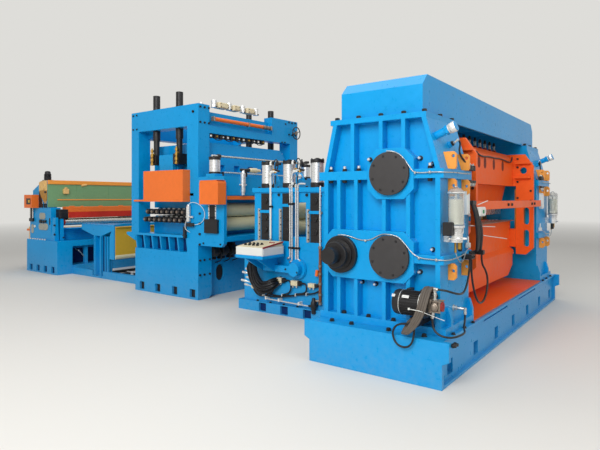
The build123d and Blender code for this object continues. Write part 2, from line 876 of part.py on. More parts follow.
# Lubrication pump on a bracket at the operator side: motor, bell housing and gear pump
with BuildPart() as lubrication_pump:
    pump_y = -housing_outer - pump_radius - pump_clear
    motor_plane = Plane(origin=(pump_left, pump_y, pump_z), z_dir=(1, 0, 0))
    for start, length, radius in (
        (0, pump_motor_long, pump_radius),
        (pump_motor_long, pump_bell_long, pump_radius + pump_bell_out),
        (pump_motor_long + pump_bell_long, pump_gear_long, pump_gear_radius),
    ):
        with BuildSketch(motor_plane.offset(start)) as body:
            Circle(radius)
        extrude(body.sketch, amount=length)
    bell_mid = pump_left + pump_motor_long + pump_bell_long / 2
    plate_x(
        rectangle(pump_y, -housing_outer, pump_z - pump_gear_radius, pump_z + pump_gear_radius),
        bell_mid - pump_bell_long / 2, bell_mid + pump_bell_long / 2,
    )
    # Suction fitting under the gear pump and pressure elbow on top of it
    bar_z([(low_port_x, pump_y)], fitting_radius, low_port_z, pump_z)
    bar_z([(high_port_x, pump_y)], fitting_radius, pump_z, high_port_z + fitting_radius)
    with BuildSketch(Plane(origin=(high_port_x, pump_y, high_port_z), z_dir=(1, 0, 0))) as outlet:
        Circle(fitting_radius - fitting_wall)
    extrude(outlet.sketch, amount=high_port_end - high_port_x)
    # Clip block on the housing under the motor
    plate_y(rectangle(clip_left, clip_right, clip_low, clip_high), -wall_y, -housing_outer - clip_out)
    # Elbow on the exit side of the housing
    with BuildSketch(Plane(origin=(housing_right, elbow_y, elbow_z), z_dir=(1, 0, 0))) as elbow_base:
        Circle(elbow_base_radius)
    extrude(elbow_base.sketch, amount=fitting_radius)
    with BuildSketch(Plane(origin=(housing_right, elbow_y, elbow_z), z_dir=(1, 0, 0))) as elbow_arm:
        Circle(fitting_radius - fitting_wall)
    extrude(elbow_arm.sketch, amount=elbow_x - housing_right)
    bar_z([(elbow_x, elbow_y)], fitting_radius, elbow_low, elbow_z + fitting_radius)
    # Manifold on the lower flange, and the tie bar that holds the hanging hose beside the knife frame
    flange_face = housing_right + split_out / 2
    plate_z(rectangle(flange_face, manifold_reach, manifold_left, manifold_right), manifold_low, manifold_high)
    plate_z(rectangle(flange_face, flange_face + tie_thick, tie_left, tie_right), tie_low, tie_high)
    plate_z(rectangle(flange_face + tie_thick, tie_reach, tie_block_left, tie_right), tie_low, tie_high)
keep(lubrication_pump, "lubrication_pump")


def hose(route, radius, label):
    """Hose along straight runs joined by arcs as large as the runs allow."""
    points = [Vector(*point) for point in route]
    runs = [after - before for before, after in zip(points, points[1:])]
    bends = []
    for before, after in zip(runs, runs[1:]):
        half_turn = radians(before.get_angle(after) / 2)
        bends.append(0.45 * min(before.length, after.length) / tan(half_turn))
    with BuildPart() as tube:
        with BuildLine() as path:
            FilletPolyline(*points, radius=bends)
        with BuildSketch(Plane(origin=points[0], z_dir=runs[0])):
            Circle(radius)
        sweep()
    length = path.wire().length
    share = tube.part.volume / (length * pi * radius ** 2)
    print(label, "radii", [round(bend) for bend in bends], "length", round(length), "volume share", round(share, 4))
    keep(tube, label)


# Hoses of the lubrication: loop under the motor, low hose, high hose, and the long hanging loop
hose([
    (clip_left, -2425, 520), (290, -2425, 520), (232, -2429, 424), (282, -2434, 322), (394, -2434, 314),
    (loop_port_x, -2430, 404), (loop_port_x, -2430, clip_low),
], hose_radius, "hose_motor_loop")
hose([
    (low_port_x, pump_y, low_port_z), (low_port_x, pump_y, 526), (600, -2362, 476), (650, -2366, 446),
    (712, -2348, 436), (750, -2290, 434), (766, -2212, 435), (768, -2130, 434), (752, -2056, 432),
    (726, -2000, 436), (706, -1946, 454), (elbow_x, elbow_y, 494), (elbow_x, elbow_y, elbow_low),
], hose_radius, "hose_pump_low")
hose([
    (high_port_end, pump_y, high_port_z), (690, pump_y, high_port_z), (744, -2310, 806), (758, -2215, 784),
    (748, -2100, 774), (730, -1984, 786), (712, -1880, 826), (697, -1792, 890), (688, -1738, 954),
    (688, -1738, manifold_low),
], hose_radius, "hose_pump_high")
hose([
    (690, -1700, manifold_low), (690, -1700, 926), (700, -1690, 800), (708, -1642, 684), (706, -1550, 602),
    (704, -1436, 574), (704, -1328, 604), (704, -1250, 688), (700, -1222, 796), (692, -1274, 886),
    (680, -1356, 948), (680, -1356, tie_low),
], hang_radius, "hose_exit_loop")

# Roll feeder
feeder_near = feed_axis_y - feeder_half
feeder_far = feed_axis_y + feeder_half

# Base of the feeder: plinth with pockets, closed body above
with BuildPart() as feeder_base:
    plate_z(rectangle(feeder_left, feeder_right, feeder_near, feeder_far), 0, feeder_plinth)
    plate_z(
        rectangle(feeder_left + feeder_body_in, feeder_right - feeder_body_in,
                  feeder_near + feeder_body_in, feeder_far - feeder_body_in),
        feeder_plinth, feeder_body_high,
    )
    with Locations((stand_x[1], feed_axis_y, feeder_plinth / 2)):
        with GridLocations(stand_x[1] - stand_x[0], 2 * feeder_half, 3, 2):
            Box(pocket_width, pocket_depth, feeder_plinth - base_flange_thick, mode=Mode.SUBTRACT)
    # Round boss that carries the desk arm
    bar_y([(desk_boss_x, desk_boss_z)], desk_boss_radius, feeder_near + feeder_body_in,
          feeder_near + feeder_body_in - desk_arm_out)
keep(feeder_base, "feeder_base")

# Slotted side frames of the feeder, each with its top plate
with BuildPart() as feeder_frames:
    for side in (-1, 1):
        outer = feed_axis_y + side * (feeder_half - feeder_body_in)
        inner = outer - side * feeder_frame_thick
        plate_y(rectangle(feeder_frame_left, feeder_frame_right, feeder_body_high, feeder_top_low), outer, inner)
        plate_y(
            rectangle(feeder_frame_left - feeder_top_out, feeder_frame_right + feeder_top_out,
                      feeder_top_low, feeder_top_low + feeder_top_thick),
            outer + side * feeder_top_out, inner - side * feeder_top_out,
        )
        for x_mid in stand_x:
            plate_y(
                rectangle(x_mid - stand_slot_width / 2, x_mid + stand_slot_width / 2,
                          stand_slot_low, stand_slot_high),
                outer, inner, Mode.SUBTRACT,
            )
        plate_y(
            rectangle(feeder_window_left, feeder_window_right, feeder_window_low, feeder_window_high),
            outer, inner, Mode.SUBTRACT,
        )
        # Keeper bar across each slot
        for x_mid, z_mid in zip(stand_x, keeper_z):
            reach = stand_slot_width / 2 + keeper_over
            plate_y(rectangle(x_mid - reach, x_mid + reach, z_mid, z_mid + keeper_high),
                    outer, outer + side * keeper_thick)
keep(feeder_frames, "feeder_frames")

# Bare metal wear strips beside the slots
with BuildPart() as feeder_strips:
    for side in (-1, 1):
        outer = feed_axis_y + side * (feeder_half - feeder_body_in)
        for x_mid in stand_x:
            strip_right = x_mid - stand_slot_width / 2 - edge_strip_gap
            plate_y(rectangle(strip_right - edge_strip_width, strip_right, edge_strip_low, edge_strip_high),
                    outer, outer + side * edge_strip_thick)
keep(feeder_strips, "feeder_strips")

upper_roll_z = pass_line + roll_nip + roll_radius
lower_roll_z = pass_line - roll_radius
chock_half = stand_slot_width / 2

# Bearing chocks in the slots of the feeder frames, bored for the roll necks
with BuildPart() as feeder_chocks:
    for side in (-1, 1):
        outer = feed_axis_y + side * (feeder_half - feeder_body_in)
        inner = outer - side * feeder_frame_thick
        for x_mid in stand_x:
            low_chock = rectangle(x_mid - chock_half, x_mid + chock_half, stand_slot_low, pass_line - chock_gap)
            high_chock = rectangle(x_mid - chock_half, x_mid + chock_half, pass_line + chock_gap,
                                   stand_slot_high)
            plate_y(low_chock, outer, inner)
            plate_y(high_chock, outer, inner)
            bar_y([(x_mid, lower_roll_z), (x_mid, upper_roll_z)], roll_neck_radius + running_gap,
                  outer - side * chock_wall, inner, Mode.SUBTRACT)
keep(feeder_chocks, "feeder_chocks")


def roll_part(centres, half_length, barrel, neck, half_neck, label):
    """Rolls about one cross axis each: barrel and two necks."""
    with BuildPart() as rolls:
        bar_y(centres, barrel, feed_axis_y - half_length, feed_axis_y + half_length)
        bar_y(centres, neck, feed_axis_y - half_neck, feed_axis_y + half_neck)
    keep(rolls, label)


feeder_neck = feeder_half - feeder_body_in - chock_wall - chock_gap
feeder_barrel = feeder_half - feeder_body_in - feeder_frame_thick - joint_gap
for number, x_mid in enumerate(stand_x, start=1):
    roll_part([(x_mid, upper_roll_z)], feeder_barrel, roll_radius, roll_neck_radius, feeder_neck,
              "feed_roll_upper_" + str(number))
    roll_part([(x_mid, lower_roll_z)], feeder_barrel, roll_radius, roll_neck_radius, feeder_neck,
              "feed_roll_lower_" + str(number))

# Operator desk: white box on a tray, with its bracket and arm on the feeder base
desk_front = feeder_near - desk_reach
desk_back = feeder_near - desk_gap
feeder_face = feeder_near + feeder_body_in
with BuildPart() as operator_desk:
    plate_z(rectangle(desk_left, desk_right, desk_front, desk_back), desk_low + desk_tray, desk_high)
keep(operator_desk, "operator_desk")
with BuildPart() as desk_bracket:
    plate_z(rectangle(desk_left, desk_right, desk_front, desk_back), desk_low, desk_low + desk_tray)
    # Tapered side plates carry the tray down to the arm, which runs along the base to its boss
    arm_front = feeder_face - desk_arm_out - desk_arm_high
    side_plate = [
        (desk_back, desk_low), (desk_front + desk_tray, desk_low), (arm_front, desk_arm_low),
        (feeder_face - desk_arm_out, desk_arm_low),
    ]
    for x_mid in (desk_left + desk_arm_in, desk_right - desk_arm_in):
        plate_x(side_plate, x_mid - desk_tray / 2, x_mid + desk_tray / 2)
    plate_y(
        rectangle(desk_left + desk_arm_in, desk_boss_x, desk_arm_low, desk_arm_low + desk_arm_high),
        feeder_face - desk_arm_out, arm_front,
    )
    bar_y([(desk_boss_x, desk_boss_z)], desk_arm_high, feeder_face - desk_arm_out, arm_front)
keep(desk_bracket, "desk_bracket")

# Bundle of cables from the desk down to the face of the feeder base
hose([
    (-2515, -1185, desk_low), (-2515, -1185, 640), (-2475, -1170, 490), (-2385, -1160, 385),
    (-2275, -1150, 400), (-2195, -1100, 455), (-2195, feeder_face, 455),
], cable_radius, "desk_cables")

# Leveller
lev_near = feed_axis_y - lev_half
lev_far = feed_axis_y + lev_half

# Base of the leveller: closed box, recessed exit side with an oval port, pockets at the front
with BuildPart() as leveller_base:
    foot_left = lev_right - lev_column_x
    exit_face = lev_right - lev_side_in
    plan = [
        (lev_base_left, lev_near), (foot_left, lev_near), (foot_left, lev_near + lev_foot_y),
        (exit_face, lev_near + lev_foot_y), (exit_face, lev_far - lev_foot_y), (foot_left, lev_far - lev_foot_y),
        (foot_left, lev_far), (lev_base_left, lev_far),
    ]
    plate_z(plan, 0, lev_base_high)
    gusset_root = lev_column_y / 2
    plate_z(rectangle(lev_base_left, foot_left, lev_near + gusset_root, lev_far - gusset_root),
            lev_base_high, lev_table_high)
    plate_z(rectangle(foot_left, exit_face, lev_near + lev_foot_y, lev_far - lev_foot_y),
            lev_base_high, lev_table_high)
    gusset_pitch = (foot_left - lev_base_left - lev_gusset_thick) / (lev_gusset_count - 1)
    for index in range(lev_gusset_count):
        gusset_x = lev_base_left + index * gusset_pitch
        for side in (-1, 1):
            outer = feed_axis_y + side * lev_half
            root = outer - side * gusset_root
            gusset = [(root, lev_base_high), (outer - side * lev_gusset_thick, lev_base_high),
                      (outer, lev_table_high), (root, lev_table_high)]
            plate_x(gusset, gusset_x, gusset_x + lev_gusset_thick)
    pocket_row = [lev_pocket_first + index * lev_pocket_pitch for index in range(lev_pocket_count)]
    for pocket_x in pocket_row:
        for y_mid in (lev_near, lev_far):
            with Locations((pocket_x, y_mid, pocket_low / 2 + pocket_height / 2)):
                Box(pocket_width, pocket_depth, pocket_height, mode=Mode.SUBTRACT)
    with BuildSketch(Plane.YZ.offset(exit_face - lev_port_deep)) as port:
        with Locations((lev_port_y, lev_port_z)):
            SlotOverall(lev_port_high, lev_port_width, rotation=90)
    extrude(port.sketch, amount=lev_port_deep, mode=Mode.SUBTRACT)
keep(leveller_base, "leveller_base")


def leveller_frame_side(side, label):
    """Portal of the leveller: two columns, the top beam between them and a wider foot."""
    outer = feed_axis_y + side * lev_half
    inner = outer - side * lev_column_y
    foot_inner = outer - side * lev_foot_y
    with BuildPart() as frame:
        foot = [
            (outer, 0), (foot_inner + side * lev_foot_cut, 0), (foot_inner, lev_foot_cut),
            (foot_inner, lev_table_high), (outer, lev_table_high),
        ]
        plate_x(foot, lev_right - lev_column_x, lev_right)
        plate_y(rectangle(lev_right - lev_column_x, lev_right, lev_table_high, lev_top_high), outer, inner)
        plate_y(rectangle(lev_left, lev_left + lev_column_left_x, lev_table_high, lev_top_high), outer, inner)
        plate_y(rectangle(lev_left, lev_right, lev_top_low, lev_top_high), outer, inner)
        plate_y(rectangle(lev_left, lev_right, lev_table_high, lev_table_high + lev_table_thick), outer, inner)
        # Shelf past the entry column, and the rounded corbel under the top beam
        shelf = [
            (lev_left - lev_shelf_out, lev_table_high + lev_table_thick), (lev_left - lev_shelf_out, lev_table_high),
            (lev_base_left, lev_table_high - lev_shelf_drop), (lev_base_left, lev_table_high + lev_table_thick),
        ]
        plate_y(shelf, outer, inner)
        corbel_root = lev_left + lev_column_left_x
        corbel = [
            (corbel_root, lev_top_low), (corbel_root + corbel_long, lev_top_low),
            (corbel_root + corbel_long / 2, lev_top_low - corbel_high / 2), (corbel_root, lev_top_low - corbel_high),
        ]
        plate_y(corbel, inner, inner + side * lev_gusset_thick)
        for pocket_x in pocket_row:
            with Locations((pocket_x, outer, pocket_low / 2 + pocket_height / 2)):
                Box(pocket_width, pocket_depth, pocket_height, mode=Mode.SUBTRACT)
    keep(frame, label)


leveller_frame_side(-1, "leveller_near_portal")
leveller_frame_side(1, "leveller_far_portal")

# Sheet cover over the roll drives, in front of the operator side window
with BuildPart() as leveller_cover:
    cover_section = [
        (lev_near, lev_cover_low), (lev_near - lev_cover_out, lev_cover_low),
        (lev_near - lev_cover_out, lev_cover_high), (lev_near, lev_cover_high),
    ]
    plate_x(cover_section, lev_cover_left, lev_cover_right)
    plate_y(rectangle(lev_left + lev_column_left_x / 2, lev_cover_left, lev_cover_low,
                      lev_cover_low + lev_gusset_thick), lev_near, lev_near - lev_gusset_thick)
keep(leveller_cover, "leveller_cover")

# Girders across the line between the two portals
with BuildPart() as leveller_girders:
    lev_inner_near = lev_near + lev_column_y
    lev_inner_far = lev_far - lev_column_y
    for edge, inward in ((lev_right, -1), (lev_left, 1)):
        web_out = edge + inward * lev_girder_in
        web_in = edge + inward * lev_girder_thick
        plate_x(rectangle(lev_inner_near, lev_inner_far, lev_girder_low + lev_girder_flange,
                          lev_top_high - lev_girder_in), web_out, web_in)
        plate_x(rectangle(lev_inner_near, lev_inner_far, lev_girder_low, lev_girder_low + lev_girder_flange),
                edge, web_in)
        # Closed end of the girder at the far portal, flush with its columns
        plate_x(rectangle(lev_block_y, lev_inner_far, lev_girder_low + lev_girder_flange, lev_top_high), edge, web_in)
keep(leveller_girders, "leveller_girders")

# Upper roll cassette: cross beam with cut corners that hangs on four screws
with BuildPart() as leveller_cassette:
    cass_near = lev_inner_near + cassette_end_gap
    cass_far = lev_inner_far - cassette_end_gap
    cassette = [
        (cass_near, beam_cassette_low), (cass_far, beam_cassette_low),
        (cass_far, beam_cassette_high - cassette_cut), (cass_far - cassette_cut, beam_cassette_high),
        (cass_near, beam_cassette_high),
    ]
    plate_x(cassette, lev_left + lev_column_left_x + cassette_side_in, lev_right - cassette_side_in)
    # Row of pockets in the exit face
    with Locations((lev_right - cassette_side_in, (cass_near + cass_far) / 2, cassette_pocket_z)):
        with GridLocations(1, cassette_pocket_pitch, 1, cassette_pocket_count):
            Box(2 * cassette_pocket_deep, cassette_pocket_width, cassette_pocket_high, mode=Mode.SUBTRACT)
    # End block between the two screws of each side
    for y_end, outward in ((cass_near, -1), (cass_far, 1)):
        plate_y(
            rectangle(screw_x[0] + end_block_in, screw_x[1] - end_block_in, end_block_low, end_block_high),
            y_end, y_end + outward * lev_column_y / 2,
        )
keep(leveller_cassette, "leveller_cassette")

# Work rolls: one row under the cassette, one row and its carrier on the table
roll_row_left = lev_left + lev_column_left_x + cassette_side_in + work_roll_pitch
upper_row = [(roll_row_left + index * work_roll_pitch, beam_cassette_low - running_gap - work_roll_radius)
             for index in range(work_roll_count)]
lower_row_z = 2 * pass_line + roll_nip - (beam_cassette_low - running_gap - work_roll_radius)
lower_row = [(x_mid - work_roll_pitch / 2, lower_row_z) for x_mid, z_mid in upper_row]
with BuildPart() as upper_work_rolls:
    bar_y(upper_row, work_roll_radius, cass_near, cass_far)
    bar_y(upper_row, work_neck_radius, cass_near - work_neck_long, cass_near)
keep(upper_work_rolls, "upper_work_rolls")
with BuildPart() as lower_work_rolls:
    bar_y(lower_row, work_roll_radius, cass_near, cass_far)
    bar_y(lower_row, work_neck_radius, cass_near - work_neck_long, cass_near)
keep(lower_work_rolls, "lower_work_rolls")
with BuildPart() as lower_cassette:
    plate_x(
        rectangle(cass_near, cass_far, lev_table_high, lower_row_z - work_roll_radius - running_gap),
        lev_left + lev_column_left_x + lower_cassette_in, lev_right - lev_side_in - lower_cassette_in,
    )
keep(lower_cassette, "lower_cassette")

# Screws that carry the cassette, and the fixed sleeves that they run into
screw_spots = []
for x_mid in screw_x:
    for side in (-1, 1):
        screw_spots.append((x_mid, feed_axis_y + side * (lev_half - lev_column_y / 2)))
sleeve_low = lev_top_low - screw_sleeve_long
with BuildPart() as screw_housings:
    bar_z(screw_spots, screw_sleeve_radius, sleeve_low, lev_top_low)
    bar_z(screw_spots, screw_radius + running_gap, sleeve_low, lev_top_low, Mode.SUBTRACT)
    bar_z(screw_spots, screw_cap_radius, lev_top_high, lev_top_high + screw_cap_long)
keep(screw_housings, "screw_housings")
with BuildPart() as cassette_screws:
    for x_mid, y_mid in screw_spots:
        inward = 1 if y_mid < feed_axis_y else -1
        bar_z([(x_mid, y_mid)], screw_radius, beam_cassette_high - cassette_cut,
              lev_top_low - cassette_lift - joint_gap)
        arm_y = y_mid + inward * (lev_column_y / 2 + cassette_end_gap)
        plate_z(
            rectangle(x_mid - screw_arm_half, x_mid + screw_arm_half, y_mid - inward * screw_arm_half, arm_y),
            beam_cassette_high - 2 * cassette_cut, beam_cassette_high - cassette_cut,
        )
keep(cassette_screws, "cassette_screws")

# Exit pinch stand of the leveller: side plates, cross beams and the exit apron
pinch_outer = lev_half
pinch_inner = lev_half - pinch_thick
pinch_near = feed_axis_y - pinch_inner
pinch_far = feed_axis_y + pinch_inner
pinch_beam_left = pinch_left + pinch_beam_in
pinch_air_x = pinch_x - pinch_air_left
with BuildPart() as pinch_stands:
    stand_outline = [
        (pinch_left, pinch_low), (pinch_right - pinch_cut, pinch_low), (pinch_right, pinch_low + pinch_cut),
        (pinch_right, pinch_high), (pinch_left, pinch_high),
    ]
    for side in (-1, 1):
        outer = feed_axis_y + side * pinch_outer
        inner = feed_axis_y + side * pinch_inner
        plate_y(stand_outline, outer, inner)
        plate_y(
            rectangle(pinch_x - pinch_slot_width / 2, pinch_x + pinch_slot_width / 2,
                      pinch_slot_low, pinch_slot_high),
            outer, inner, Mode.SUBTRACT,
        )
        # Seat under the air cylinder
        plate_z(
            rectangle(pinch_air_x - pinch_air_in, pinch_air_x + pinch_air_in, outer,
                      outer - side * 2 * pinch_air_in),
            pinch_high, pinch_high + pinch_seat_high,
        )
    plate_y(rectangle(pinch_beam_left, pinch_right, pinch_beam_low, pinch_high), pinch_near, pinch_far)
    plate_y(rectangle(pinch_right - pinch_apron_thick, pinch_right, pinch_apron_low, pinch_beam_low),
            pinch_near, pinch_far)
    plate_y(rectangle(pinch_beam_left, pinch_right, pinch_rail_low, pinch_rail_high), pinch_near, pinch_far)
keep(pinch_stands, "pinch_stands")

# Bearing chocks of the pinch rolls, with the proud cover over the lower one
with BuildPart() as pinch_chocks:
    for side in (-1, 1):
        outer = feed_axis_y + side * pinch_outer
        inner = feed_axis_y + side * pinch_inner
        half = pinch_slot_width / 2
        plate_y(rectangle(pinch_x - half, pinch_x + half, pinch_slot_low, pass_line - chock_gap), outer, inner)
        plate_y(rectangle(pinch_x - half, pinch_x + half, pass_line + chock_gap, pinch_slot_high), outer, inner)
        plate_y(
            rectangle(pinch_x - pinch_chock_half, pinch_x + pinch_chock_half, pinch_slot_low,
                      pinch_slot_low + pinch_chock_high),
            outer, outer + side * pinch_chock_out,
        )
        bar_y([(pinch_x, lower_roll_z), (pinch_x, upper_roll_z)], roll_neck_radius + running_gap,
              outer - side * chock_wall, inner, Mode.SUBTRACT)
keep(pinch_chocks, "pinch_chocks")
pinch_neck = pinch_outer - chock_wall - chock_gap
roll_part([(pinch_x, upper_roll_z)], pinch_inner - joint_gap, roll_radius, roll_neck_radius, pinch_neck,
          "pinch_roll_upper")
roll_part([(pinch_x, lower_roll_z)], pinch_inner - joint_gap, roll_radius, roll_neck_radius, pinch_neck,
          "pinch_roll_lower")
with BuildPart() as pinch_covers:
    for side in (-1, 1):
        outer = feed_axis_y + side * pinch_outer
        plate_y(rectangle(pinch_x - pinch_cover_left_out, pinch_x + pinch_cover_right_out, pinch_cover_low,
                          pinch_cover_high), outer, outer + side * pinch_cover_out)
    rounded = pinch_covers.edges().filter_by(Axis.Y).group_by(Axis.Z)[-1]
    fillet(rounded, radius=pinch_cover_round)
    # Wiper bar before the upper roll
    plate_y(rectangle(pinch_right - wiper_thick, pinch_right, wiper_low, wiper_high), pinch_near, pinch_far)
keep(pinch_covers, "pinch_covers")

# Air cylinders on the feeder and on the pinch stand, each between a black foot and a black cap
air_rows = []
for side in (-1, 1):
    feeder_air_y = feed_axis_y + side * (feeder_half - feeder_body_in - feeder_frame_thick / 2)
    pinch_air_y = feed_axis_y + side * (pinch_outer - pinch_air_in)
    air_rows.append(([(x_mid, feeder_air_y) for x_mid in stand_x], feeder_top_low + feeder_top_thick,
                     air_foot_high, air_long))
    air_rows.append(([(pinch_air_x, pinch_air_y)], pinch_high + pinch_seat_high, pinch_air_foot, pinch_air_high))
with BuildPart() as feeder_cylinders:
    for spots, seat_z, foot, barrel in air_rows:
        bar_z(spots, air_radius, seat_z + foot, seat_z + foot + barrel)
keep(feeder_cylinders, "feeder_cylinders")
with BuildPart() as cylinder_caps:
    for spots, seat_z, foot, barrel in air_rows:
        bar_z(spots, air_radius + air_cap_out, seat_z, seat_z + foot)
        bar_z(spots, air_radius + air_cap_out, seat_z + foot + barrel, seat_z + foot + barrel + air_cap_high)
keep(cylinder_caps, "cylinder_caps")

# Bridge over the loop: flanged posts with bracket heads, and the frame that carries the table
bridge_far_y = 2 * feed_axis_y - bridge_post_y
bridge_half = bridge_post_width / 2
bridge_near_face = bridge_post_y - bridge_half
bridge_far_face = bridge_far_y + bridge_half
with BuildPart() as bridge_stand:
    head_z = bridge_post_high
    head_top = head_z + bridge_head_high
    head = [
        (bridge_post_x - bridge_half, head_z), (bridge_post_x + bridge_half, head_z),
        (bridge_head_right, head_z + bridge_head_high / 2), (bridge_head_right, head_top),
        (bridge_head_left, head_top), (bridge_head_left, head_z + bridge_head_high / 2),
    ]
    for y_mid in (bridge_post_y, bridge_far_y):
        plate_z(
            rectangle(bridge_post_x - bridge_half - bridge_foot_out, bridge_post_x + bridge_half + bridge_foot_out,
                      y_mid - bridge_half, y_mid + bridge_half),
            0, bridge_foot_thick,
        )
        plate_z(
            rectangle(bridge_post_x - bridge_half, bridge_post_x + bridge_half, y_mid - bridge_web_thick / 2,
                      y_mid + bridge_web_thick / 2),
            bridge_foot_thick, head_z,
        )
        for flange_x in (bridge_post_x - bridge_half, bridge_post_x + bridge_half - bridge_flange_thick):
            plate_z(
                rectangle(flange_x, flange_x + bridge_flange_thick, y_mid - bridge_half, y_mid + bridge_half),
                bridge_foot_thick, head_z,
            )
        plate_y(head, y_mid - bridge_half, y_mid + bridge_half)
    # Cross beam between the heads, and the uprights that carry the lowered table
    plate_y(rectangle(bridge_post_x - bridge_half, bridge_post_x + bridge_half, head_z, head_top),
            bridge_post_y + bridge_half, bridge_far_y - bridge_half)
    upright = [
        (bridge_upright_left, bridge_upright_low), (bridge_upright_right, bridge_upright_low),
        (bridge_upright_right, head_top), (bridge_head_right, head_top),
        (bridge_head_right, head_z + bridge_head_high / 2), (bridge_upright_left, head_z),
    ]
    # Sills on the floor tie the posts to the end unit and to the leveller base
    foot_reach = bridge_half + bridge_foot_out
    for face, inward in ((bridge_near_face, 1), (bridge_far_face, -1)):
        plate_y(upright, face, face + inward * bridge_rib_thick)
        plate_z(rectangle(end_right, bridge_post_x - foot_reach, face, face + inward * sill_width), 0, sill_high)
        plate_z(rectangle(bridge_post_x + foot_reach, lev_base_left, face, face + inward * sill_width), 0, sill_high)
keep(bridge_stand, "bridge_stand")

# Lowered table between the uprights, with its rounded lower edge
with BuildPart() as bridge_table:
    table_near = bridge_near_face + bridge_rib_thick
    table_far = bridge_far_face - bridge_rib_thick
    table_low = bridge_upright_low + table_edge_radius
    plate_y(
        rectangle(bridge_upright_right - table_thick, bridge_upright_right, table_low, head_top - table_top_in),
        table_near, table_far,
    )
    bar_y([(bridge_upright_right - table_edge_radius, table_low)], table_edge_radius, table_near, table_far)
keep(bridge_table, "bridge_table")

# End unit at the far left: pocketed base, two side frames, cross beam and deflector roll
end_far = 2 * feed_axis_y - end_front
end_frame_left = end_left + end_step
with BuildPart() as end_base:
    plate_z(rectangle(end_left, end_right, end_front, end_far), 0, end_base_high)
    with Locations((0.5 * (end_left + end_right), feed_axis_y, pocket_low / 2 + pocket_height / 2)):
        with GridLocations(end_pocket_pitch, end_far - end_front, 4, 2):
            Box(pocket_width, pocket_depth, pocket_height, mode=Mode.SUBTRACT)
    # Recess under the chute, on the exit side
    plate_x(rectangle(end_front + end_recess_in, end_far - end_recess_in, end_recess_low, end_recess_high),
            end_right - end_recess_deep, end_right, Mode.SUBTRACT)
    # Lower pedestal on the entry side
    plate_z(rectangle(end_pedestal_left, end_left, end_front + end_pedestal_in, end_far - end_pedestal_in),
            0, end_pedestal_high)
keep(end_base, "end_base")

# Side frames of the end unit: stepped up to a narrow crest with a sloped entry side
end_outline = [
    (end_frame_left, end_base_high), (end_frame_right, end_base_high), (end_frame_right, end_arm_high),
    (end_crest_right, end_arm_high), (end_crest_right, end_crest_high), (end_crest_left, end_crest_high),
    (end_slope_left, end_slope_low), (end_slope_left, end_arm_high), (end_frame_left, end_arm_high),
]
with BuildPart() as end_frames:
    for side in (-1, 1):
        outer = feed_axis_y + side * (feed_axis_y - end_front - end_frame_in)
        inner = outer - side * end_wall_thick
        plate_y(end_outline, outer, inner)
        # Two tapered bearing brackets stand on the base at the exit side, the inner one carries the roll
        for root in (outer - side * end_bracket_wide, inner):
            edge = root + side * end_bracket_wide
            bracket = [
                (root, end_base_high), (edge, end_base_high), (edge - side * end_bracket_taper, end_bracket_high),
                (root + side * end_bracket_taper, end_bracket_high),
            ]
            plate_x(bracket, end_frame_right, end_bracket_right)
        bar_y([(end_roll_x, end_roll_z)], end_neck_radius + running_gap, inner + side * (end_bracket_wide - chock_wall),
              inner, Mode.SUBTRACT)
        # Round bearing cover on the crest
        bar_y([(end_disc_x, end_disc_z)], end_disc_radius, outer, outer + side * end_disc_thick)
keep(end_frames, "end_frames")

# Roll, the cleaning block over it and the curved chute below it
end_inner_near = end_front + end_frame_in + end_wall_thick
end_inner_far = end_far - end_frame_in - end_wall_thick
end_neck_reach = end_bracket_wide - chock_wall - chock_gap
with BuildPart() as end_roll:
    bar_y([(end_roll_x, end_roll_z)], end_roll_radius, end_inner_near + joint_gap, end_inner_far - joint_gap)
    bar_y([(end_roll_x, end_roll_z)], end_neck_radius, end_inner_near - end_neck_reach, end_inner_far + end_neck_reach)
keep(end_roll, "end_roll")
with BuildPart() as end_scrubber:
    # Cleaning block on its two end arms, which reach from the frames over the brackets
    scrub_left = end_roll_x - scrub_thick / 2
    plate_y(rectangle(scrub_left, scrub_left + scrub_thick, scrub_low, scrub_high), end_inner_near, end_inner_far)
    for side, inner in ((-1, end_inner_near), (1, end_inner_far)):
        plate_y(rectangle(end_frame_right, scrub_left + scrub_thick, scrub_low, scrub_high), inner,
                inner + side * end_bracket_wide)
    # Beam between the crests
    plate_y(rectangle(end_crest_left, end_crest_right, end_beam_low, end_crest_high), end_inner_near, end_inner_far)
    # Control box on the operator side
    panel_face = end_front + end_frame_in
    plate_y(rectangle(end_panel_left, end_panel_right, end_panel_low, end_panel_high), panel_face,
            panel_face - end_panel_out)
    # Entry shelf on the frames, with its legs on the pedestal
    shelf_near = end_front + end_pedestal_in
    shelf_far = end_far - end_pedestal_in
    plate_z(rectangle(end_shelf_left, end_frame_left, shelf_near, shelf_far), end_shelf_low,
            end_shelf_low + end_shelf_thick)
    for leg_y in (shelf_near, shelf_far - end_leg_width):
        plate_z(rectangle(end_leg_left, end_leg_left + end_leg_width, leg_y, leg_y + end_leg_width),
                end_pedestal_high, end_shelf_low)
keep(end_scrubber, "end_scrubber")
with BuildPart() as end_chute:
    chute_top = end_base_high + chute_drop
    with BuildSketch(Plane.XZ.offset(-end_inner_far)) as chute_sketch:
        with BuildLine():
            rise = Line((end_right - chute_run, end_base_high), (end_right - chute_run, chute_top - chute_radius))
            bend = JernArc(rise @ 1, (0, 1), chute_radius, -90)
            Line(bend @ 1, (end_right, chute_top))
            Line((end_right, chute_top), (end_right, chute_top - chute_thick))
            under = Line((end_right, chute_top - chute_thick),
                         (end_right - chute_run + chute_radius, chute_top - chute_thick))
            back_bend = JernArc(under @ 1, (-1, 0), chute_radius - chute_thick, 90)
            Line(back_bend @ 1, (end_right - chute_run + chute_thick, end_base_high))
            Line((end_right - chute_run + chute_thick, end_base_high), (end_right - chute_run, end_base_high))
        make_face()
    extrude(chute_sketch.sketch, amount=end_inner_far - end_inner_near)
keep(end_chute, "end_chute")
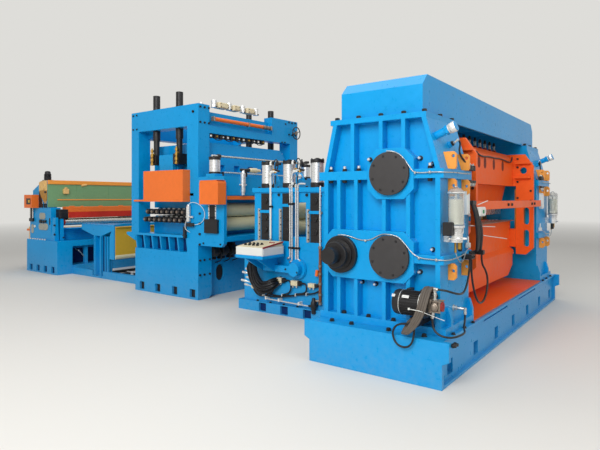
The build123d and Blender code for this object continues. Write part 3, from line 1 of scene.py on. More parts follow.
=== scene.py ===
"""Looks of a cut-to-length line: flying shear, roll feeder, leveller, bridge table and end unit.

Metres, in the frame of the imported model: the strip runs along +X, -Y is the operator side, +Z is up.
Places of the detail pieces are written in millimetres, as they are in the construction.
"""
import json
import math

import bmesh
import bpy
from mathutils import Matrix, Vector


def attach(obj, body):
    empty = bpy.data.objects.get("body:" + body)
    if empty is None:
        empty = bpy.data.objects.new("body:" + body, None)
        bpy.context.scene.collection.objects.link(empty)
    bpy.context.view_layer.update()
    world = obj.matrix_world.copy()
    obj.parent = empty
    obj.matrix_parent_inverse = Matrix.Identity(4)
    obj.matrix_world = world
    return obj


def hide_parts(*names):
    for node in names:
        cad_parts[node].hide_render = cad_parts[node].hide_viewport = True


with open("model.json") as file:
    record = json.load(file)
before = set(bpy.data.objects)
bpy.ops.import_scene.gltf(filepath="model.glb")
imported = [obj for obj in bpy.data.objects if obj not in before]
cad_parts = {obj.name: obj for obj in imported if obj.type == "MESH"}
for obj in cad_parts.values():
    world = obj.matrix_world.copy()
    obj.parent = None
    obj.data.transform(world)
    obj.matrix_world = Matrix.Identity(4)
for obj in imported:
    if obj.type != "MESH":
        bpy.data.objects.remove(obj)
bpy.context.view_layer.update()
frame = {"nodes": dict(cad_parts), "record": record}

# Camera at the photograph's place: eye height, turned to the left of the line
CAMERA_PLACE = (2.260, -6.501, 1.600)
CAMERA_TURN = 36.6
CAMERA_LENS = 30.72
CAMERA_SHIFT = -0.045
MM = 0.001
UP = (0, 0, 1)
DOWN = (0, 0, -1)
EAST = (1, 0, 0)
NEAR = (0, -1, 0)
FAR = (0, 1, 0)
# Edges of a piece stay sharp from this angle in radians
SHARP = 0.6
# Outer faces of the units, each with the direction that it looks in along Y
FEEDER_FACES = ((-990, -1), (1510, 1))
LEVELLER_FACES = ((-1030, -1), (1550, 1))
SCREW_BEAM_FACES = ((-910, -1), (1430, 1))
BRIDGE_FACES = ((-676, -1), (1196, 1))
END_FACES = ((-950, -1), (1470, 1))
END_BASE_FACES = ((-1000, -1), (1520, 1))
PLINTH_FACES = ((-1050, -1), (1570, 1))
# Centres of the feeder's three pairs of rolls
FEEDER_SLOTS = (-2445, -2060, -1590)


def make_camera():
    data = bpy.data.cameras.new("camera")
    data.sensor_width = 36.0
    data.lens = CAMERA_LENS
    data.shift_y = CAMERA_SHIFT
    camera = bpy.data.objects.new("camera", data)
    camera.location = CAMERA_PLACE
    camera.rotation_euler = (math.radians(90), 0, math.radians(CAMERA_TURN))
    bpy.context.scene.collection.objects.link(camera)
    bpy.context.scene.camera = camera


make_camera()


def linear(red, green, blue):
    """Colour as it is seen, 0 to 255 a channel, to the linear values that a shader takes."""
    def channel(value):
        value = value / 255
        return value / 12.92 if value <= 0.04045 else ((value + 0.055) / 1.055) ** 2.4
    return (channel(red), channel(green), channel(blue), 1.0)


def feed(tree, target, values):
    """Sets a node's settings and sockets by name or number, to values or to the outputs that feed them."""
    for key, value in values.items():
        if isinstance(key, str) and key not in target.inputs:
            setattr(target, key, value)
        elif isinstance(value, bpy.types.NodeSocket):
            tree.links.new(value, target.inputs[key])
        else:
            target.inputs[key].default_value = value
    return target


def node(tree, kind, **values):
    """New shader node with its settings and sockets by name."""
    return feed(tree, tree.nodes.new(kind), values)


def span(tree, source, low, high, to_low, to_high):
    """Map range from one output."""
    made = tree.nodes.new("ShaderNodeMapRange")
    return feed(tree, made, {"Value": source, "From Min": low, "From Max": high, "To Min": to_low,
                             "To Max": to_high}).outputs["Result"]


def joined(tree, operation, first, second):
    """Outcome of a math node on two outputs."""
    return feed(tree, node(tree, "ShaderNodeMath", operation=operation), {0: first, 1: second}).outputs[0]


def blend_colour(tree, factor, first, second):
    """Colour mix; first and second are outputs or colours."""
    made = node(tree, "ShaderNodeMix", data_type="RGBA", Factor=factor)
    return feed(tree, made, {6: first, 7: second}).outputs[2]


def material(name, colour, roughness=0.4, metallic=0.0, spread=0.08, grain=18.0, bump=0.25, coat=0.0,
             specular=0.3, bevel=0.0, streak=(1, 1, 1), wear=None, dust=0.0, weave=None):
    """Surface with soft changes of colour and gloss, a fine relief, worn edges and dust near the floor.

    spread is the share that the colour changes by, bump the relief's height in millimetres, wear the colour that
    shows along edges, and weave the pitch in millimetres of rings or ribs along the object's axes.
    """
    made = bpy.data.materials.new(name)
    made.use_nodes = True
    tree = made.node_tree
    place = node(tree, "ShaderNodeTexCoord").outputs["Object"]
    stretched = node(tree, "ShaderNodeMapping", Scale=streak, Vector=place).outputs["Vector"]

    def noise(scale, detail, rough):
        return node(tree, "ShaderNodeTexNoise", Scale=scale, Detail=detail, Roughness=rough,
                    Vector=stretched).outputs["Fac"]

    broad = noise(1.7, 3.0, 0.55)
    fine = noise(grain, 5.0, 0.6)
    skin = noise(90.0, 2.0, 0.5)
    both = node(tree, "ShaderNodeMix", data_type="FLOAT", Factor=0.45, A=broad, B=fine)
    base = linear(*colour)
    ramp = node(tree, "ShaderNodeValToRGB", Fac=both.outputs["Result"])
    dark, light = ramp.color_ramp.elements
    dark.position = 0.32
    light.position = 0.68
    dark.color = [max(0, c * (1 - spread)) for c in base[:3]] + [1]
    light.color = [min(1, c * (1 + spread) + 0.002) for c in base[:3]] + [1]
    seen = ramp.outputs["Color"]
    gloss = span(tree, fine, 0.3, 0.7, max(0.05, roughness - 0.07), min(1, roughness + 0.09))
    relief = node(tree, "ShaderNodeBump", Strength=0.5, Distance=bump * MM, Height=skin)
    if weave:
        rings = node(tree, "ShaderNodeTexWave", wave_type="BANDS", bands_direction="DIAGONAL",
                     Scale=1 / (weave * MM * 2 * math.pi) * 3.0, Vector=place)
        feed(tree, relief, {"Height": rings.outputs["Fac"]})
    shape = node(tree, "ShaderNodeNewGeometry")
    if bevel:
        rounded = node(tree, "ShaderNodeBevel", Radius=bevel, samples=4).outputs["Normal"]
        feed(tree, relief, {"Normal": rounded})
        if wear:
            turn = node(tree, "ShaderNodeVectorMath", operation="DOT_PRODUCT")
            feed(tree, turn, {0: rounded, 1: shape.outputs["Normal"]})
            edge = span(tree, turn.outputs["Value"], 0.72, 0.96, 1.0, 0.0)
            patchy = span(tree, fine, 0.46, 0.62, 0.0, 0.55)
            seen = blend_colour(tree, joined(tree, "MULTIPLY", edge, patchy), seen, linear(*wear))
    if dust:
        parts = node(tree, "ShaderNodeSeparateXYZ", Vector=shape.outputs["Position"])
        low = span(tree, parts.outputs["Z"], 0.02, 0.55, 1.0, 0.0)
        spots = span(tree, fine, 0.35, 0.75, 0.2, 1.0)
        film = span(tree, joined(tree, "MULTIPLY", low, spots), 0.0, 1.0, 0.0, dust)
        seen = blend_colour(tree, film, seen, linear(150, 142, 128))
    feed(tree, tree.nodes["Principled BSDF"], {
        "Metallic": metallic, "Coat Weight": coat, "Coat Roughness": 0.12, "Specular IOR Level": specular,
        "Base Color": seen, "Roughness": gloss, "Normal": relief.outputs["Normal"]})
    return made


BLUE = material("blue_paint", (0, 150, 214), 0.32, spread=0.06, bump=0.08, coat=0.06, specular=0.24,
                bevel=0.006, dust=0.2)
# Painted shade: dark blue for sheets put in pockets, slots and gaps that lie in shadow
SHADE_BLUE = material("painted_shade_blue", (6, 44, 96), 0.6, spread=0.15, specular=0.15)
ORANGE = material("orange_paint", (236, 116, 46), 0.38, spread=0.06, coat=0.05, specular=0.22,
                  bevel=0.005, dust=0.12)
FRAME_ORANGE = material("frame_orange", (240, 100, 38), 0.4, spread=0.07, specular=0.14, bevel=0.005)
LUG_ORANGE = material("light_orange_paint", (244, 156, 66), 0.4, spread=0.06, specular=0.25,
                      bevel=0.003)
# Painted shade: orange darkened for the shaded insides of slots
DARK_ORANGE = material("shaded_orange", (104, 34, 14), 0.6, spread=0.15)
BLACK = material("black_metal", (34, 33, 34), 0.4, metallic=0.2, spread=0.2, bevel=0.003, specular=0.4)
COVER = material("bearing_cover", (58, 56, 56), 0.55, spread=0.12, bump=0.4, bevel=0.003)
STEEL = material("bright_steel", (198, 198, 194), 0.27, metallic=0.85, spread=0.07, bevel=0.002)
DULL_STEEL = material("dull_steel", (142, 130, 118), 0.42, metallic=0.7, spread=0.14)
ALLOY = material("silver_alloy", (222, 222, 220), 0.3, metallic=0.65, spread=0.05, streak=(1, 1, 9))
CREAM = material("roll_cover", (214, 206, 168), 0.42, spread=0.05, streak=(1, 6, 1))
BRONZE = material("bronze", (182, 142, 66), 0.36, metallic=0.75, spread=0.12)
WHITE = material("white_plastic", (224, 224, 218), 0.42, spread=0.03, bevel=0.003)
CREAM_BOX = material("cream_box", (222, 208, 172), 0.45, spread=0.05, bevel=0.003)
YELLOW = material("yellow_tray", (214, 170, 50), 0.45, spread=0.07, wear=(170, 150, 110), bevel=0.004)
RUBBER = material("black_hose", (24, 24, 26), 0.42, spread=0.15, bump=0.2, specular=0.4)
SLEEVE = material("grey_sleeve", (96, 88, 80), 0.6, spread=0.2, bump=0.8, weave=9.0)
COPPER = material("rusty_pipe", (140, 84, 58), 0.5, metallic=0.4, spread=0.2)
LUBE = material("lube_line", (176, 180, 180), 0.3, metallic=0.7, spread=0.08)
RED = material("dark_red", (150, 30, 28), 0.45, spread=0.1)
GREEN = material("green_mark", (30, 130, 80), 0.5, spread=0.08)
GAUGE = material("gauge_plate", (166, 166, 154), 0.5, spread=0.08)
GREASE = material("grease", (226, 224, 210), 0.5, spread=0.06, bump=1.2, grain=40.0)
BRISTLE = material("red_brush", (196, 44, 30), 0.85, spread=0.28, grain=90.0, bump=2.0)
TAN = material("tan_cover", (226, 184, 116), 0.5, spread=0.08, bevel=0.003)
DARK_TAN = material("dark_tan_cover", (176, 128, 60), 0.55, spread=0.12)
GREEN_PANEL = material("green_panel", (118, 158, 112), 0.5, spread=0.07, bevel=0.003)
CLEAR = material("clear_plastic", (236, 238, 236), 0.12, spread=0.02, bump=0.1)
feed(CLEAR.node_tree, CLEAR.node_tree.nodes["Principled BSDF"], {"Transmission Weight": 0.88, "IOR": 1.3})

FINISH = {
    "blue_paint": BLUE, "orange_paint": ORANGE, "black_metal": BLACK, "bare_steel": STEEL,
    "silver_alloy": ALLOY, "roll_coat": CREAM, "bronze": BRONZE, "white_plastic": WHITE,
    "yellow_paint": YELLOW, "black_rubber": RUBBER}
SPECIAL = {
    "bearing_covers": COVER, "lifting_lugs": LUG_ORANGE, "upper_knife_frame": FRAME_ORANGE,
    "lower_knife_beam": FRAME_ORANGE, "shear_deck": FRAME_ORANGE, "exit_bar": FRAME_ORANGE}


def dress_nodes():
    """Gives every shown node of the frame the finish of its slot, or its own."""
    slots = {part["node"]: part["material_slot"] for part in frame["record"]["subparts"]}
    for name, made in frame["nodes"].items():
        made.data.materials.clear()
        made.data.materials.append(SPECIAL.get(name, FINISH[slots[name]]))


dress_nodes()


def placed(name, data, finish, body):
    """Object of one finish that rides on a body."""
    data.materials.append(finish)
    made = bpy.data.objects.new(name, data)
    bpy.context.scene.collection.objects.link(made)
    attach(made, body)
    return made


class Piece:
    """Mesh piece that grows from forms given in millimetres, rides on a body and takes one finish."""
    waiting = []

    def __init__(self, name, finish, body="line", slot=None, replaced=None):
        self.name = name
        self.finish = finish
        self.body = body
        self.slot = slot
        self.replaced = replaced
        self.mesh = bmesh.new()
        Piece.waiting.append(self)

    def dots(self, places):
        return [self.mesh.verts.new(place * MM) for place in places]

    def skin(self, low, high):
        """Faces between two rings, either of which may be a single point."""
        count = max(len(low), len(high))
        for k in range(count):
            after = (k + 1) % count
            if len(low) == 1:
                self.mesh.faces.new((low[0], high[after], high[k]))
            elif len(high) == 1:
                self.mesh.faces.new((low[k], low[after], high[0]))
            else:
                self.mesh.faces.new((low[k], low[after], high[after], high[k]))

    def tube(self, rings):
        """Skin along a row of rings, closed at both ends."""
        for low, high in zip(rings, rings[1:]):
            self.skin(low, high)
        if len(rings[0]) > 1:
            self.mesh.faces.new(list(reversed(rings[0])))
        if len(rings[-1]) > 1:
            self.mesh.faces.new(rings[-1])

    def turned(self, start, direction, profile, sides=20, flutes=0.0):
        """Form turned about a line, from pairs of distance along it and radius."""
        axis = Vector(direction).normalized()
        side = axis.orthogonal().normalized()
        up = axis.cross(side)
        turns = [2 * math.pi * k / sides for k in range(sides)]
        rings = []
        for along, radius in profile:
            middle = Vector(start) + axis * along
            if radius <= 0:
                rings.append(self.dots([middle]))
            else:
                rings.append(self.dots([
                    middle + (side * math.cos(turn) + up * math.sin(turn)) * (radius * (1 - flutes * (k % 2)))
                    for k, turn in enumerate(turns)]))
        self.tube(rings)

    def rod(self, start, end, radius, sides=16, cut=None):
        """Round bar between two points, with bevelled ends."""
        run = Vector(end) - Vector(start)
        cut = min(radius * 0.25, run.length * 0.2) if cut is None else cut
        self.turned(start, run, [(0, radius - cut), (cut, radius), (run.length - cut, radius),
                                 (run.length, radius - cut)], sides)

    def bevelled(self, edges, cut):
        if cut:
            bmesh.ops.bevel(self.mesh, geom=list(edges), offset=cut * MM, segments=1, affect="EDGES")

    def block(self, corner, opposite, cut=2.0):
        """Box with bevelled edges between two corners."""
        low, high = (Vector([pick(pair) for pair in zip(corner, opposite)]) for pick in (min, max))
        verts = bmesh.ops.create_cube(self.mesh, size=1.0)["verts"]
        for vert in verts:
            vert.co = Vector((low[i] + (vert.co[i] + 0.5) * (high[i] - low[i]) for i in range(3))) * MM
        self.bevelled({edge for vert in verts for edge in vert.link_edges}, cut)

    def slab(self, outline, axis, low, high, cut=0.0):
        """Flat plate: an outline of pairs in the plane across the axis, between two heights along it."""
        spot = "xyz".index(axis)
        first, last = (self.dots([Vector([*pair[:spot], along, *pair[spot:]]) for pair in outline])
                       for along in sorted((low, high)))
        self.skin(first, last)
        bottom = self.mesh.faces.new(list(reversed(first)))
        top = self.mesh.faces.new(last)
        self.bevelled([*bottom.edges, *top.edges], cut)

    def nut(self, place, direction, width=30.0):
        """Hexagon nut or head on its washer."""
        radius = width / 2
        self.turned(place, direction, [
            (0, radius * 1.3), (radius * 0.16, radius * 1.3), (radius * 0.2, radius * 1.2)], 16)
        self.turned(place, direction, [
            (radius * 0.2, radius * 1.1), (radius * 1.1, radius * 1.1), (radius * 1.3, radius * 0.86)], 6)

    def cap_screw(self, place, direction, radius=12.0):
        """Round head with its hexagon socket."""
        self.turned(place, direction, [
            (0, radius), (radius * 0.9, radius), (radius * 1.05, radius * 0.88), (radius * 1.05, radius * 0.55),
            (radius * 0.5, radius * 0.5), (radius * 0.5, 0)], 12)

    def done(self):
        """Turns the forms into an object."""
        Piece.waiting.remove(self)
        bmesh.ops.recalc_face_normals(self.mesh, faces=self.mesh.faces)
        for face in self.mesh.faces:
            face.smooth = True
        for edge in self.mesh.edges:
            edge.smooth = edge.calc_face_angle(0.0) < SHARP
        data = bpy.data.meshes.new(self.name)
        self.mesh.to_mesh(data)
        self.mesh.free()
        made = placed(self.name, data, self.finish, self.body)
        if self.replaced:
            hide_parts(self.replaced)
        return made


def smooth_curve(name, routes):
    """Curve with a smooth line through the corners of each route, in millimetres."""
    data = bpy.data.curves.new(name, "CURVE")
    data.dimensions = "3D"
    data.resolution_u = 8
    for route in routes:
        spline = data.splines.new("NURBS")
        spline.points.add(len(route) - 1)
        for point, place in zip(spline.points, route):
            point.co = (place[0] * MM, place[1] * MM, place[2] * MM, 1)
        spline.order_u = min(3, len(route))
        spline.use_endpoint_u = True
    return data


def lines(name, finish, radius, routes, body="line"):
    """Thin pipes or wires held by the machine, each along its route."""
    data = smooth_curve(name, routes)
    data.bevel_depth = radius * MM
    data.bevel_resolution = 3
    data.use_fill_caps = True
    return placed(name, data, finish, body)


def ring_of(centre, radius, count, start=0.0):
    """Pairs evenly round a circle."""
    turns = [start + 2 * math.pi * k / count for k in range(count)]
    return [(centre[0] + radius * math.cos(t), centre[1] + radius * math.sin(t)) for t in turns]


def oval(x, z, width, height, sides=20):
    """Outline of a slot with round ends, standing up."""
    radius = width / 2
    lift = height / 2 - radius
    return [(x + radius * math.cos(turn), z + rise + radius * math.sin(turn))
            for rise, half in ((lift, 0), (-lift, math.pi))
            for turn in (half + math.pi * k / sides for k in range(sides + 1))]


def both_sides(route):
    """Route on the near side, where its Y is turned, and the same on the far side."""
    return [[(x, side * y, z) for x, y, z in route] for side in (-1, 1)]


def paint_pocket_shade(piece, places, faces, half, low, high):
    """Painted shade: thin dark sheets at the back of square pockets that open in both faces of a base."""
    for x in places:
        for face, out in faces:
            piece.block((x - half, face - out * 38, low), (x + half, face - out * 44, high), 0)


def free_hose(name, replaced, diameter, route):
    """Hose whose ends go into the machine: one smooth line through the corners of its route, in millimetres."""
    made = lines(name, RUBBER, diameter / 2, [route])
    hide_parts(replaced)


# Hoses of the lubrication: under the motor, low and high from the pump, and the long one on the exit side
free_hose("motor_loop_hose", "hose_motor_loop", 18, [
    (402, -2425, 520), (290, -2425, 520), (232, -2429, 424), (282, -2434, 322), (394, -2434, 314),
    (445, -2430, 404), (445, -2430, 500)])
free_hose("pump_low_hose", "hose_pump_low", 18, [
    (575, -2355, 580), (575, -2355, 526), (600, -2362, 476), (650, -2366, 446), (712, -2348, 436),
    (750, -2290, 434), (766, -2212, 435), (768, -2130, 434), (752, -2056, 432), (726, -2000, 436),
    (706, -1946, 454), (699, -1900, 494), (699, -1900, 548)])
free_hose("pump_high_hose", "hose_pump_high", 18, [
    (625, -2355, 830), (690, -2355, 830), (744, -2310, 806), (758, -2215, 784), (748, -2100, 774),
    (730, -1984, 786), (712, -1880, 826), (697, -1792, 890), (688, -1738, 954), (688, -1738, 1030)])
free_hose("exit_loop_hose", "hose_exit_loop", 20, [
    (690, -1700, 1030), (690, -1700, 926), (700, -1690, 800), (708, -1642, 684), (706, -1550, 602),
    (704, -1436, 574), (704, -1328, 604), (704, -1250, 688), (700, -1222, 796), (692, -1274, 886),
    (680, -1356, 948), (680, -1356, 1040)])


def smooth_points(route):
    """Places in metres along the smooth line through a route's corners."""
    data = smooth_curve("guide", [route])
    guide = bpy.data.objects.new("guide", data)
    mesh = bpy.data.meshes.new_from_object(guide)
    places = [vert.co.copy() for vert in mesh.vertices]
    bpy.data.objects.remove(guide)
    bpy.data.curves.remove(data)
    bpy.data.meshes.remove(mesh)
    return places


def desk_bundle():
    """Bundle of cables from the desk to the feeder's face: strands that fan out between its two ends."""
    route = [(-2515, -1185, 800), (-2515, -1185, 640), (-2475, -1170, 490), (-2385, -1160, 385),
             (-2275, -1150, 400), (-2195, -1100, 455), (-2195, -990, 455)]
    places = smooth_points(route)
    piece = Piece("desk_cable_bundle", RUBBER)
    last = len(places) - 1
    strands = [(0.0, 0.0)]
    for ring, total in ((18, 6), (32, 10), (46, 14)):
        strands += ring_of((0, 0), ring, total, ring)
    sides = 8
    angles = [2 * math.pi * k / sides for k in range(sides)]
    for number, (across, up) in enumerate(strands):
        radius = 8.5 + 1.8 * math.sin(number * 2.3)
        rings = []
        side = Vector(EAST)
        for k, place in enumerate(places):
            along = (places[min(k + 1, last)] - places[max(k - 1, 0)]).normalized()
            side = (side - along * side.dot(along)).normalized()
            rise = along.cross(side)
            share = k / last
            fan = 1 + 0.32 * math.sin(math.pi * share) * (0.75 + 0.25 * math.sin(number * 1.7))
            twist = 0.9 * share + 0.25 * math.sin(5 * share + number)
            shift_a = (across * math.cos(twist) - up * math.sin(twist)) * fan
            shift_b = (across * math.sin(twist) + up * math.cos(twist)) * fan
            middle = place + (side * shift_a + rise * shift_b) * MM
            rings.append([piece.mesh.verts.new(
                middle + (side * math.cos(angle) + rise * math.sin(angle)) * radius * MM) for angle in angles])
        piece.tube(rings)
    made = piece.done()
    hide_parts("desk_cables")


desk_bundle()


def shear_fasteners():
    """Nuts and studs of the shear: crown box, split flanges, bosses, foot and base."""
    nuts = Piece("shear_nuts", BLACK)
    studs = Piece("shear_studs", ALLOY, slot="bare_steel")

    def stud(place, direction, width):
        nuts.nut(place, direction, width)
        tip = Vector(place) + Vector(direction) * (width * 0.65)
        studs.turned(tip, direction, [(0, width * 0.38), (width * 0.5, width * 0.38), (width * 0.62, width * 0.26)],
                     12)

    for side in (-1, 1):
        out = (0, side, 0)
        for xs, ys, z, direction, width in (
                ((-488, -245, -5, 228, 428), (2172,), 2369, UP, 44), ((428, -488), (1800, 1490), 2369, UP, 44),
                ((-558, -398, -238, 485), (2180,), 1775, DOWN, 42), ((-404, -133, 129, 400), (2180,), 465, UP, 40),
                ((-470, -250, 140, 480), (2300,), 400, UP, 40), ((662,), (2090, 1800, 1560), 400, UP, 30),
                ((-672,), (2090, 1800, 1560), 400, UP, 36)):
            for x in xs:
                for y in ys:
                    nuts.nut((x, side * y, z), direction, width)
        for x in (-558, -398, -238, 485):
            stud((x, side * 2180, 1860), UP, 42)
        for x, y, z, width in (
                (-86, 2230, 1962, 34), (-235, 2113, 782, 36), (-85, 2113, 776, 36), (367, 2113, 1962, 36),
                (366, 2113, 930, 36), (480, 2113, 1905, 34), (485, 2113, 1140, 34)):
            stud((x, side * y, z), out, width)
        # Rings of screws round the bearing covers and the input hub
        for x, z, reach in ((112, 1824, 168), (112, 1057, 168), (-408, 1052, 158)):
            for x_at, z_at in ring_of((x, z), reach, 8, 0.3):
                nuts.cap_screw((x_at, side * 2252, z_at), out, 11)


shear_fasteners()


def shear_covers():
    """Turned rims on the dark covers and the stepped hub with the end of its shaft."""
    rims = Piece("cover_rims", COVER)
    for side in (-1, 1):
        for z in (1824, 1057):
            rims.turned((112, side * 2252, z), (0, side, 0),
                        [(0, 199), (2, 200), (5, 198), (6, 190), (5, 60), (5, 0)], 64)
    hub = Piece("hub_rings", BLACK)
    hub.turned((-408, -2252, 1052), NEAR, [(0, 182), (9, 182), (14, 176), (14, 140), (8, 136), (8, 120)], 64)
    hub.turned((-408, -2330, 1052), NEAR, [(0, 126), (8, 128), (22, 128), (30, 122)], 48)
    for step in range(5):
        hub.turned((-408, -2276 - 13 * step, 1052), NEAR,
                   [(0, 140 - 9 * step), (1, 143 - 9 * step), (6, 143 - 9 * step), (8, 138 - 9 * step)], 56)
    Piece("shaft_end", DULL_STEEL).turned((-408, -2470, 1052), NEAR,
        [(0, 74), (2.5, 72), (2.5, 20), (1.2, 14), (1.2, 0)], 40)


shear_covers()


def lube_lines():
    """Thin metal lines that follow the bosses and flanges, with their clips."""
    upper = both_sides([
        (100, 2262, 2030), (150, 2262, 2030), (214, 2228, 2000), (262, 2228, 1948), (310, 2228, 1880),
        (345, 2228, 1832), (420, 2228, 1822), (520, 2228, 1828), (610, 2228, 1824), (650, 2190, 1822),
        (652, 2000, 1828), (652, 1800, 1824), (648, 1600, 1830)])
    lower = both_sides([
        (-420, 2270, 1240), (-380, 2270, 1246), (-300, 2228, 1228), (-200, 2228, 1196), (-90, 2228, 1200),
        (20, 2228, 1262), (110, 2260, 1270), (200, 2228, 1250), (270, 2228, 1180), (330, 2228, 1110),
        (400, 2228, 1068), (520, 2228, 1062), (610, 2228, 1062), (650, 2190, 1060), (652, 1950, 1060),
        (650, 1750, 1080)])
    for name, routes in zip(("near_lube_lines", "far_lube_lines"), zip(upper, lower)):
        lines(name, LUBE, 5.5, routes)
    clips = Piece("line_clips", STEEL)
    for side in (-1, 1):
        for x, z in ((362, 1826), (500, 1827), (400, 1068), (560, 1062), (-140, 1196)):
            clips.block((x - 9, side * 2219, z - 12), (x + 9, side * 2238, z + 12), 3)
            clips.cap_screw((x, side * 2236, z), (0, side, 0), 6)


lube_lines()


def lubrication_pump():
    """Finned motor on its feet, bell, gear pump with ports, and the sleeved bundle that loops over the bell."""
    y, z = -2355, 690
    motor = Piece("pump_motor", BLACK, replaced="lubrication_pump")
    motor.turned((235, y, z), EAST, [
        (0, 60), (4, 88), (14, 104), (30, 110), (66, 110), (70, 106), (76, 99), (246, 99), (250, 108), (268, 108),
        (272, 100), (300, 92), (318, 84)], 44)
    for k in range(30):
        turn = 2 * math.pi * k / 30
        out = Vector((0, math.cos(turn), math.sin(turn)))
        side = Vector((0, -math.sin(turn), math.cos(turn))) * 2.2
        a, b, c, d, e, f, g, h = motor.dots([Vector((x_at, y, z)) + out * reach + side * sign for x_at in (316, 482)
            for reach in (96, 109) for sign in (-1, 1)])
        for quad in ((a, b, d, c), (e, g, h, f), (a, e, f, b), (c, d, h, g), (a, c, g, e), (b, f, h, d)):
            motor.mesh.faces.new(quad)
    for x in (330, 460):
        for z_at in (z - 97, z + 97):
            motor.block((x - 22, -2290, z_at - 13), (x + 22, -2212, z_at + 13), 4)
            motor.cap_screw((x, -2226, z_at), NEAR, 9)
    for y_at, z_at in ring_of((y, z), 92, 8, 0.2):
        motor.cap_screw((506, y_at, z_at), EAST, 7)
    for x_low, x_high, y_low, y_high, z_low, z_high in (
            (402, 468, -2458, -2113, 500, 545), (620, 715, -1765, -1675, 1030, 1075),
            (620, 636, -1560, -1330, 1040, 1085), (636, 704, -1382, -1330, 1040, 1085)):
        motor.block((x_low, y_low, z_low), (x_high, y_high, z_high), 4)
    motor.nut((435, -2400, 545), UP, 22)
    for x, y_at, z_at, radius in ((715, -1745, 1052, 9), (715, -1695, 1052, 9), (636, -1540, 1062, 8),
            (636, -1410, 1062, 8)):
        motor.cap_screw((x, y_at, z_at), EAST, radius)
    stubs = Piece("base_stubs", BLACK)
    for y_at in (-2330, -2282):
        stubs.turned((733, y_at, 372), EAST, [(0, 16), (6, 20), (22, 20), (26, 14), (40, 14)], 12)
    fittings = Piece("hose_fittings", STEEL)
    fittings.turned((575, y, 640), DOWN, [(0, 19), (12, 21), (30, 21), (34, 15), (38, 15), (40, 17), (60, 15)], 6)
    fittings.turned((595, y, 738), UP, [(0, 22), (10, 22), (12, 15), (30, 15), (32, 18), (60, 18), (62, 14), (96, 14),
        (106, 10)], 12)
    fittings.turned((586, y, 830), EAST, [(0, 10), (4, 16), (16, 16), (18, 13), (24, 13), (26, 15), (39, 14)], 12)
    fittings.turned((590, -1900, 597), EAST, [(0, 28), (8, 28), (12, 22), (30, 22), (34, 14), (106, 14), (112, 10)],
                    12)
    fittings.turned((699, -1900, 608), DOWN, [(0, 12), (4, 16), (20, 16), (24, 13), (34, 13), (36, 16), (60, 15)], 12)
    for place, direction in (((402, -2425, 520), EAST), ((445, -2430, 500), UP)):
        fittings.turned(place, direction, [(0, 14), (8, 16), (20, 16)], 6)
    for place in ((689, -1738, 1028), (689, -1700, 1028), (680, -1356, 1038)):
        fittings.turned(place, UP, [(0, 12), (2, 15), (18, 15)], 6)
    bell = Piece("pump_bell", BLACK)
    bell.turned((505, y, z), EAST, [(0, 112), (8, 118), (36, 104), (45, 82), (60, 78)], 40)
    gear = Piece("gear_pump", DULL_STEEL)
    gear.block((556, -2412, 634), (584, -2300, 748), 6)
    gear.block((588, -2404, 644), (636, -2306, 738), 10)
    gear.block((640, -2400, 650), (660, -2310, 732), 6)
    for y_at, z_at in ((-2400, 648), (-2400, 734), (-2312, 648), (-2312, 734)):
        gear.rod((552, y_at, z_at), (664, y_at, z_at), 7, 10)
    gear.turned((612, -2404, 690), NEAR, [(0, 34), (10, 34), (14, 26), (26, 26), (30, 20)], 24)
    Piece("gear_pump_end", RED, slot="black_metal").turned((660, y, z), EAST,
        [(0, 40), (4, 42), (9, 40), (9, 22), (6, 20), (6, 0)], 28)
    # Painted highlight: two thin silver plates on the motor's upper front, where it shows glints
    plate = Piece("pump_highlight_plates", ALLOY)
    plate.slab([(340, 0), (404, 0), (404, 26), (340, 26)], "z", 0, 2.5, 0.8)
    plate.slab([(246, 0), (276, 0), (276, 26), (246, 26)], "z", 0, 2.5, 0.8)
    turn = Matrix.Rotation(math.radians(58), 4, "X")
    for vert in plate.mesh.verts:
        vert.co = turn @ vert.co + Vector((0, (y - 100) * MM, (z + 56) * MM))
    band = Piece("pump_bands", STEEL)
    band.turned((308, y, z), EAST, [(0, 110.5), (1, 112), (7, 112), (8, 110.5)], 44)
    band.turned((486, y, z), EAST, [(0, 109.5), (1, 111), (7, 111), (8, 109.5)], 44)
    # Loop of the sleeves: x with its share of the spread, y, and z with its share of the lift
    loop = (
        (512, 0.6, -2214, 742, 0), (512, 0.6, -2262, 800, 1), (516, 0.7, -2340, 842, 1), (520, 0.8, -2430, 818, 1),
        (518, 0.8, -2482, 740, 1), (492, 0.8, -2490, 640, 0), (440, 0.75, -2484, 540, 0), (380, 0.6, -2474, 462, 1),
        (345, 0.4, -2455, 436, 0), (340, 0.35, -2410, 462, 0), (366, 0.4, -2340, 540, 1), (392, 0.5, -2262, 566, 0),
        (400, 0.5, -2214, 560, 0))
    lines("pump_sleeves", SLEEVE, 12, [
        [(x_at + spread * shift, y_at, z_at + rise * lift) for x_at, spread, y_at, z_at, rise in loop]
        for shift, lift in ((0, 0), (25, 4), (50, -3), (75, 2))])
    glands = Piece("sleeve_glands", BLACK)
    for x, z in ((512, 742), (527, 746), (542, 739), (557, 744), (400, 560), (412, 564), (425, 557), (437, 562)):
        glands.turned((x, -2212, z), NEAR, [(0, 17), (6, 17), (8, 15), (22, 15), (26, 12.5)], 6)
    ties = Piece("sleeve_ties", WHITE)
    ties.rod((424, -2502, 668), (532, -2504, 662), 3.2, 8)
    ties.rod((532, -2504, 662), (716, -2440, 596), 2.4, 8)
    ties.block((420, -2506, 658), (436, -2492, 676), 2)


lubrication_pump()


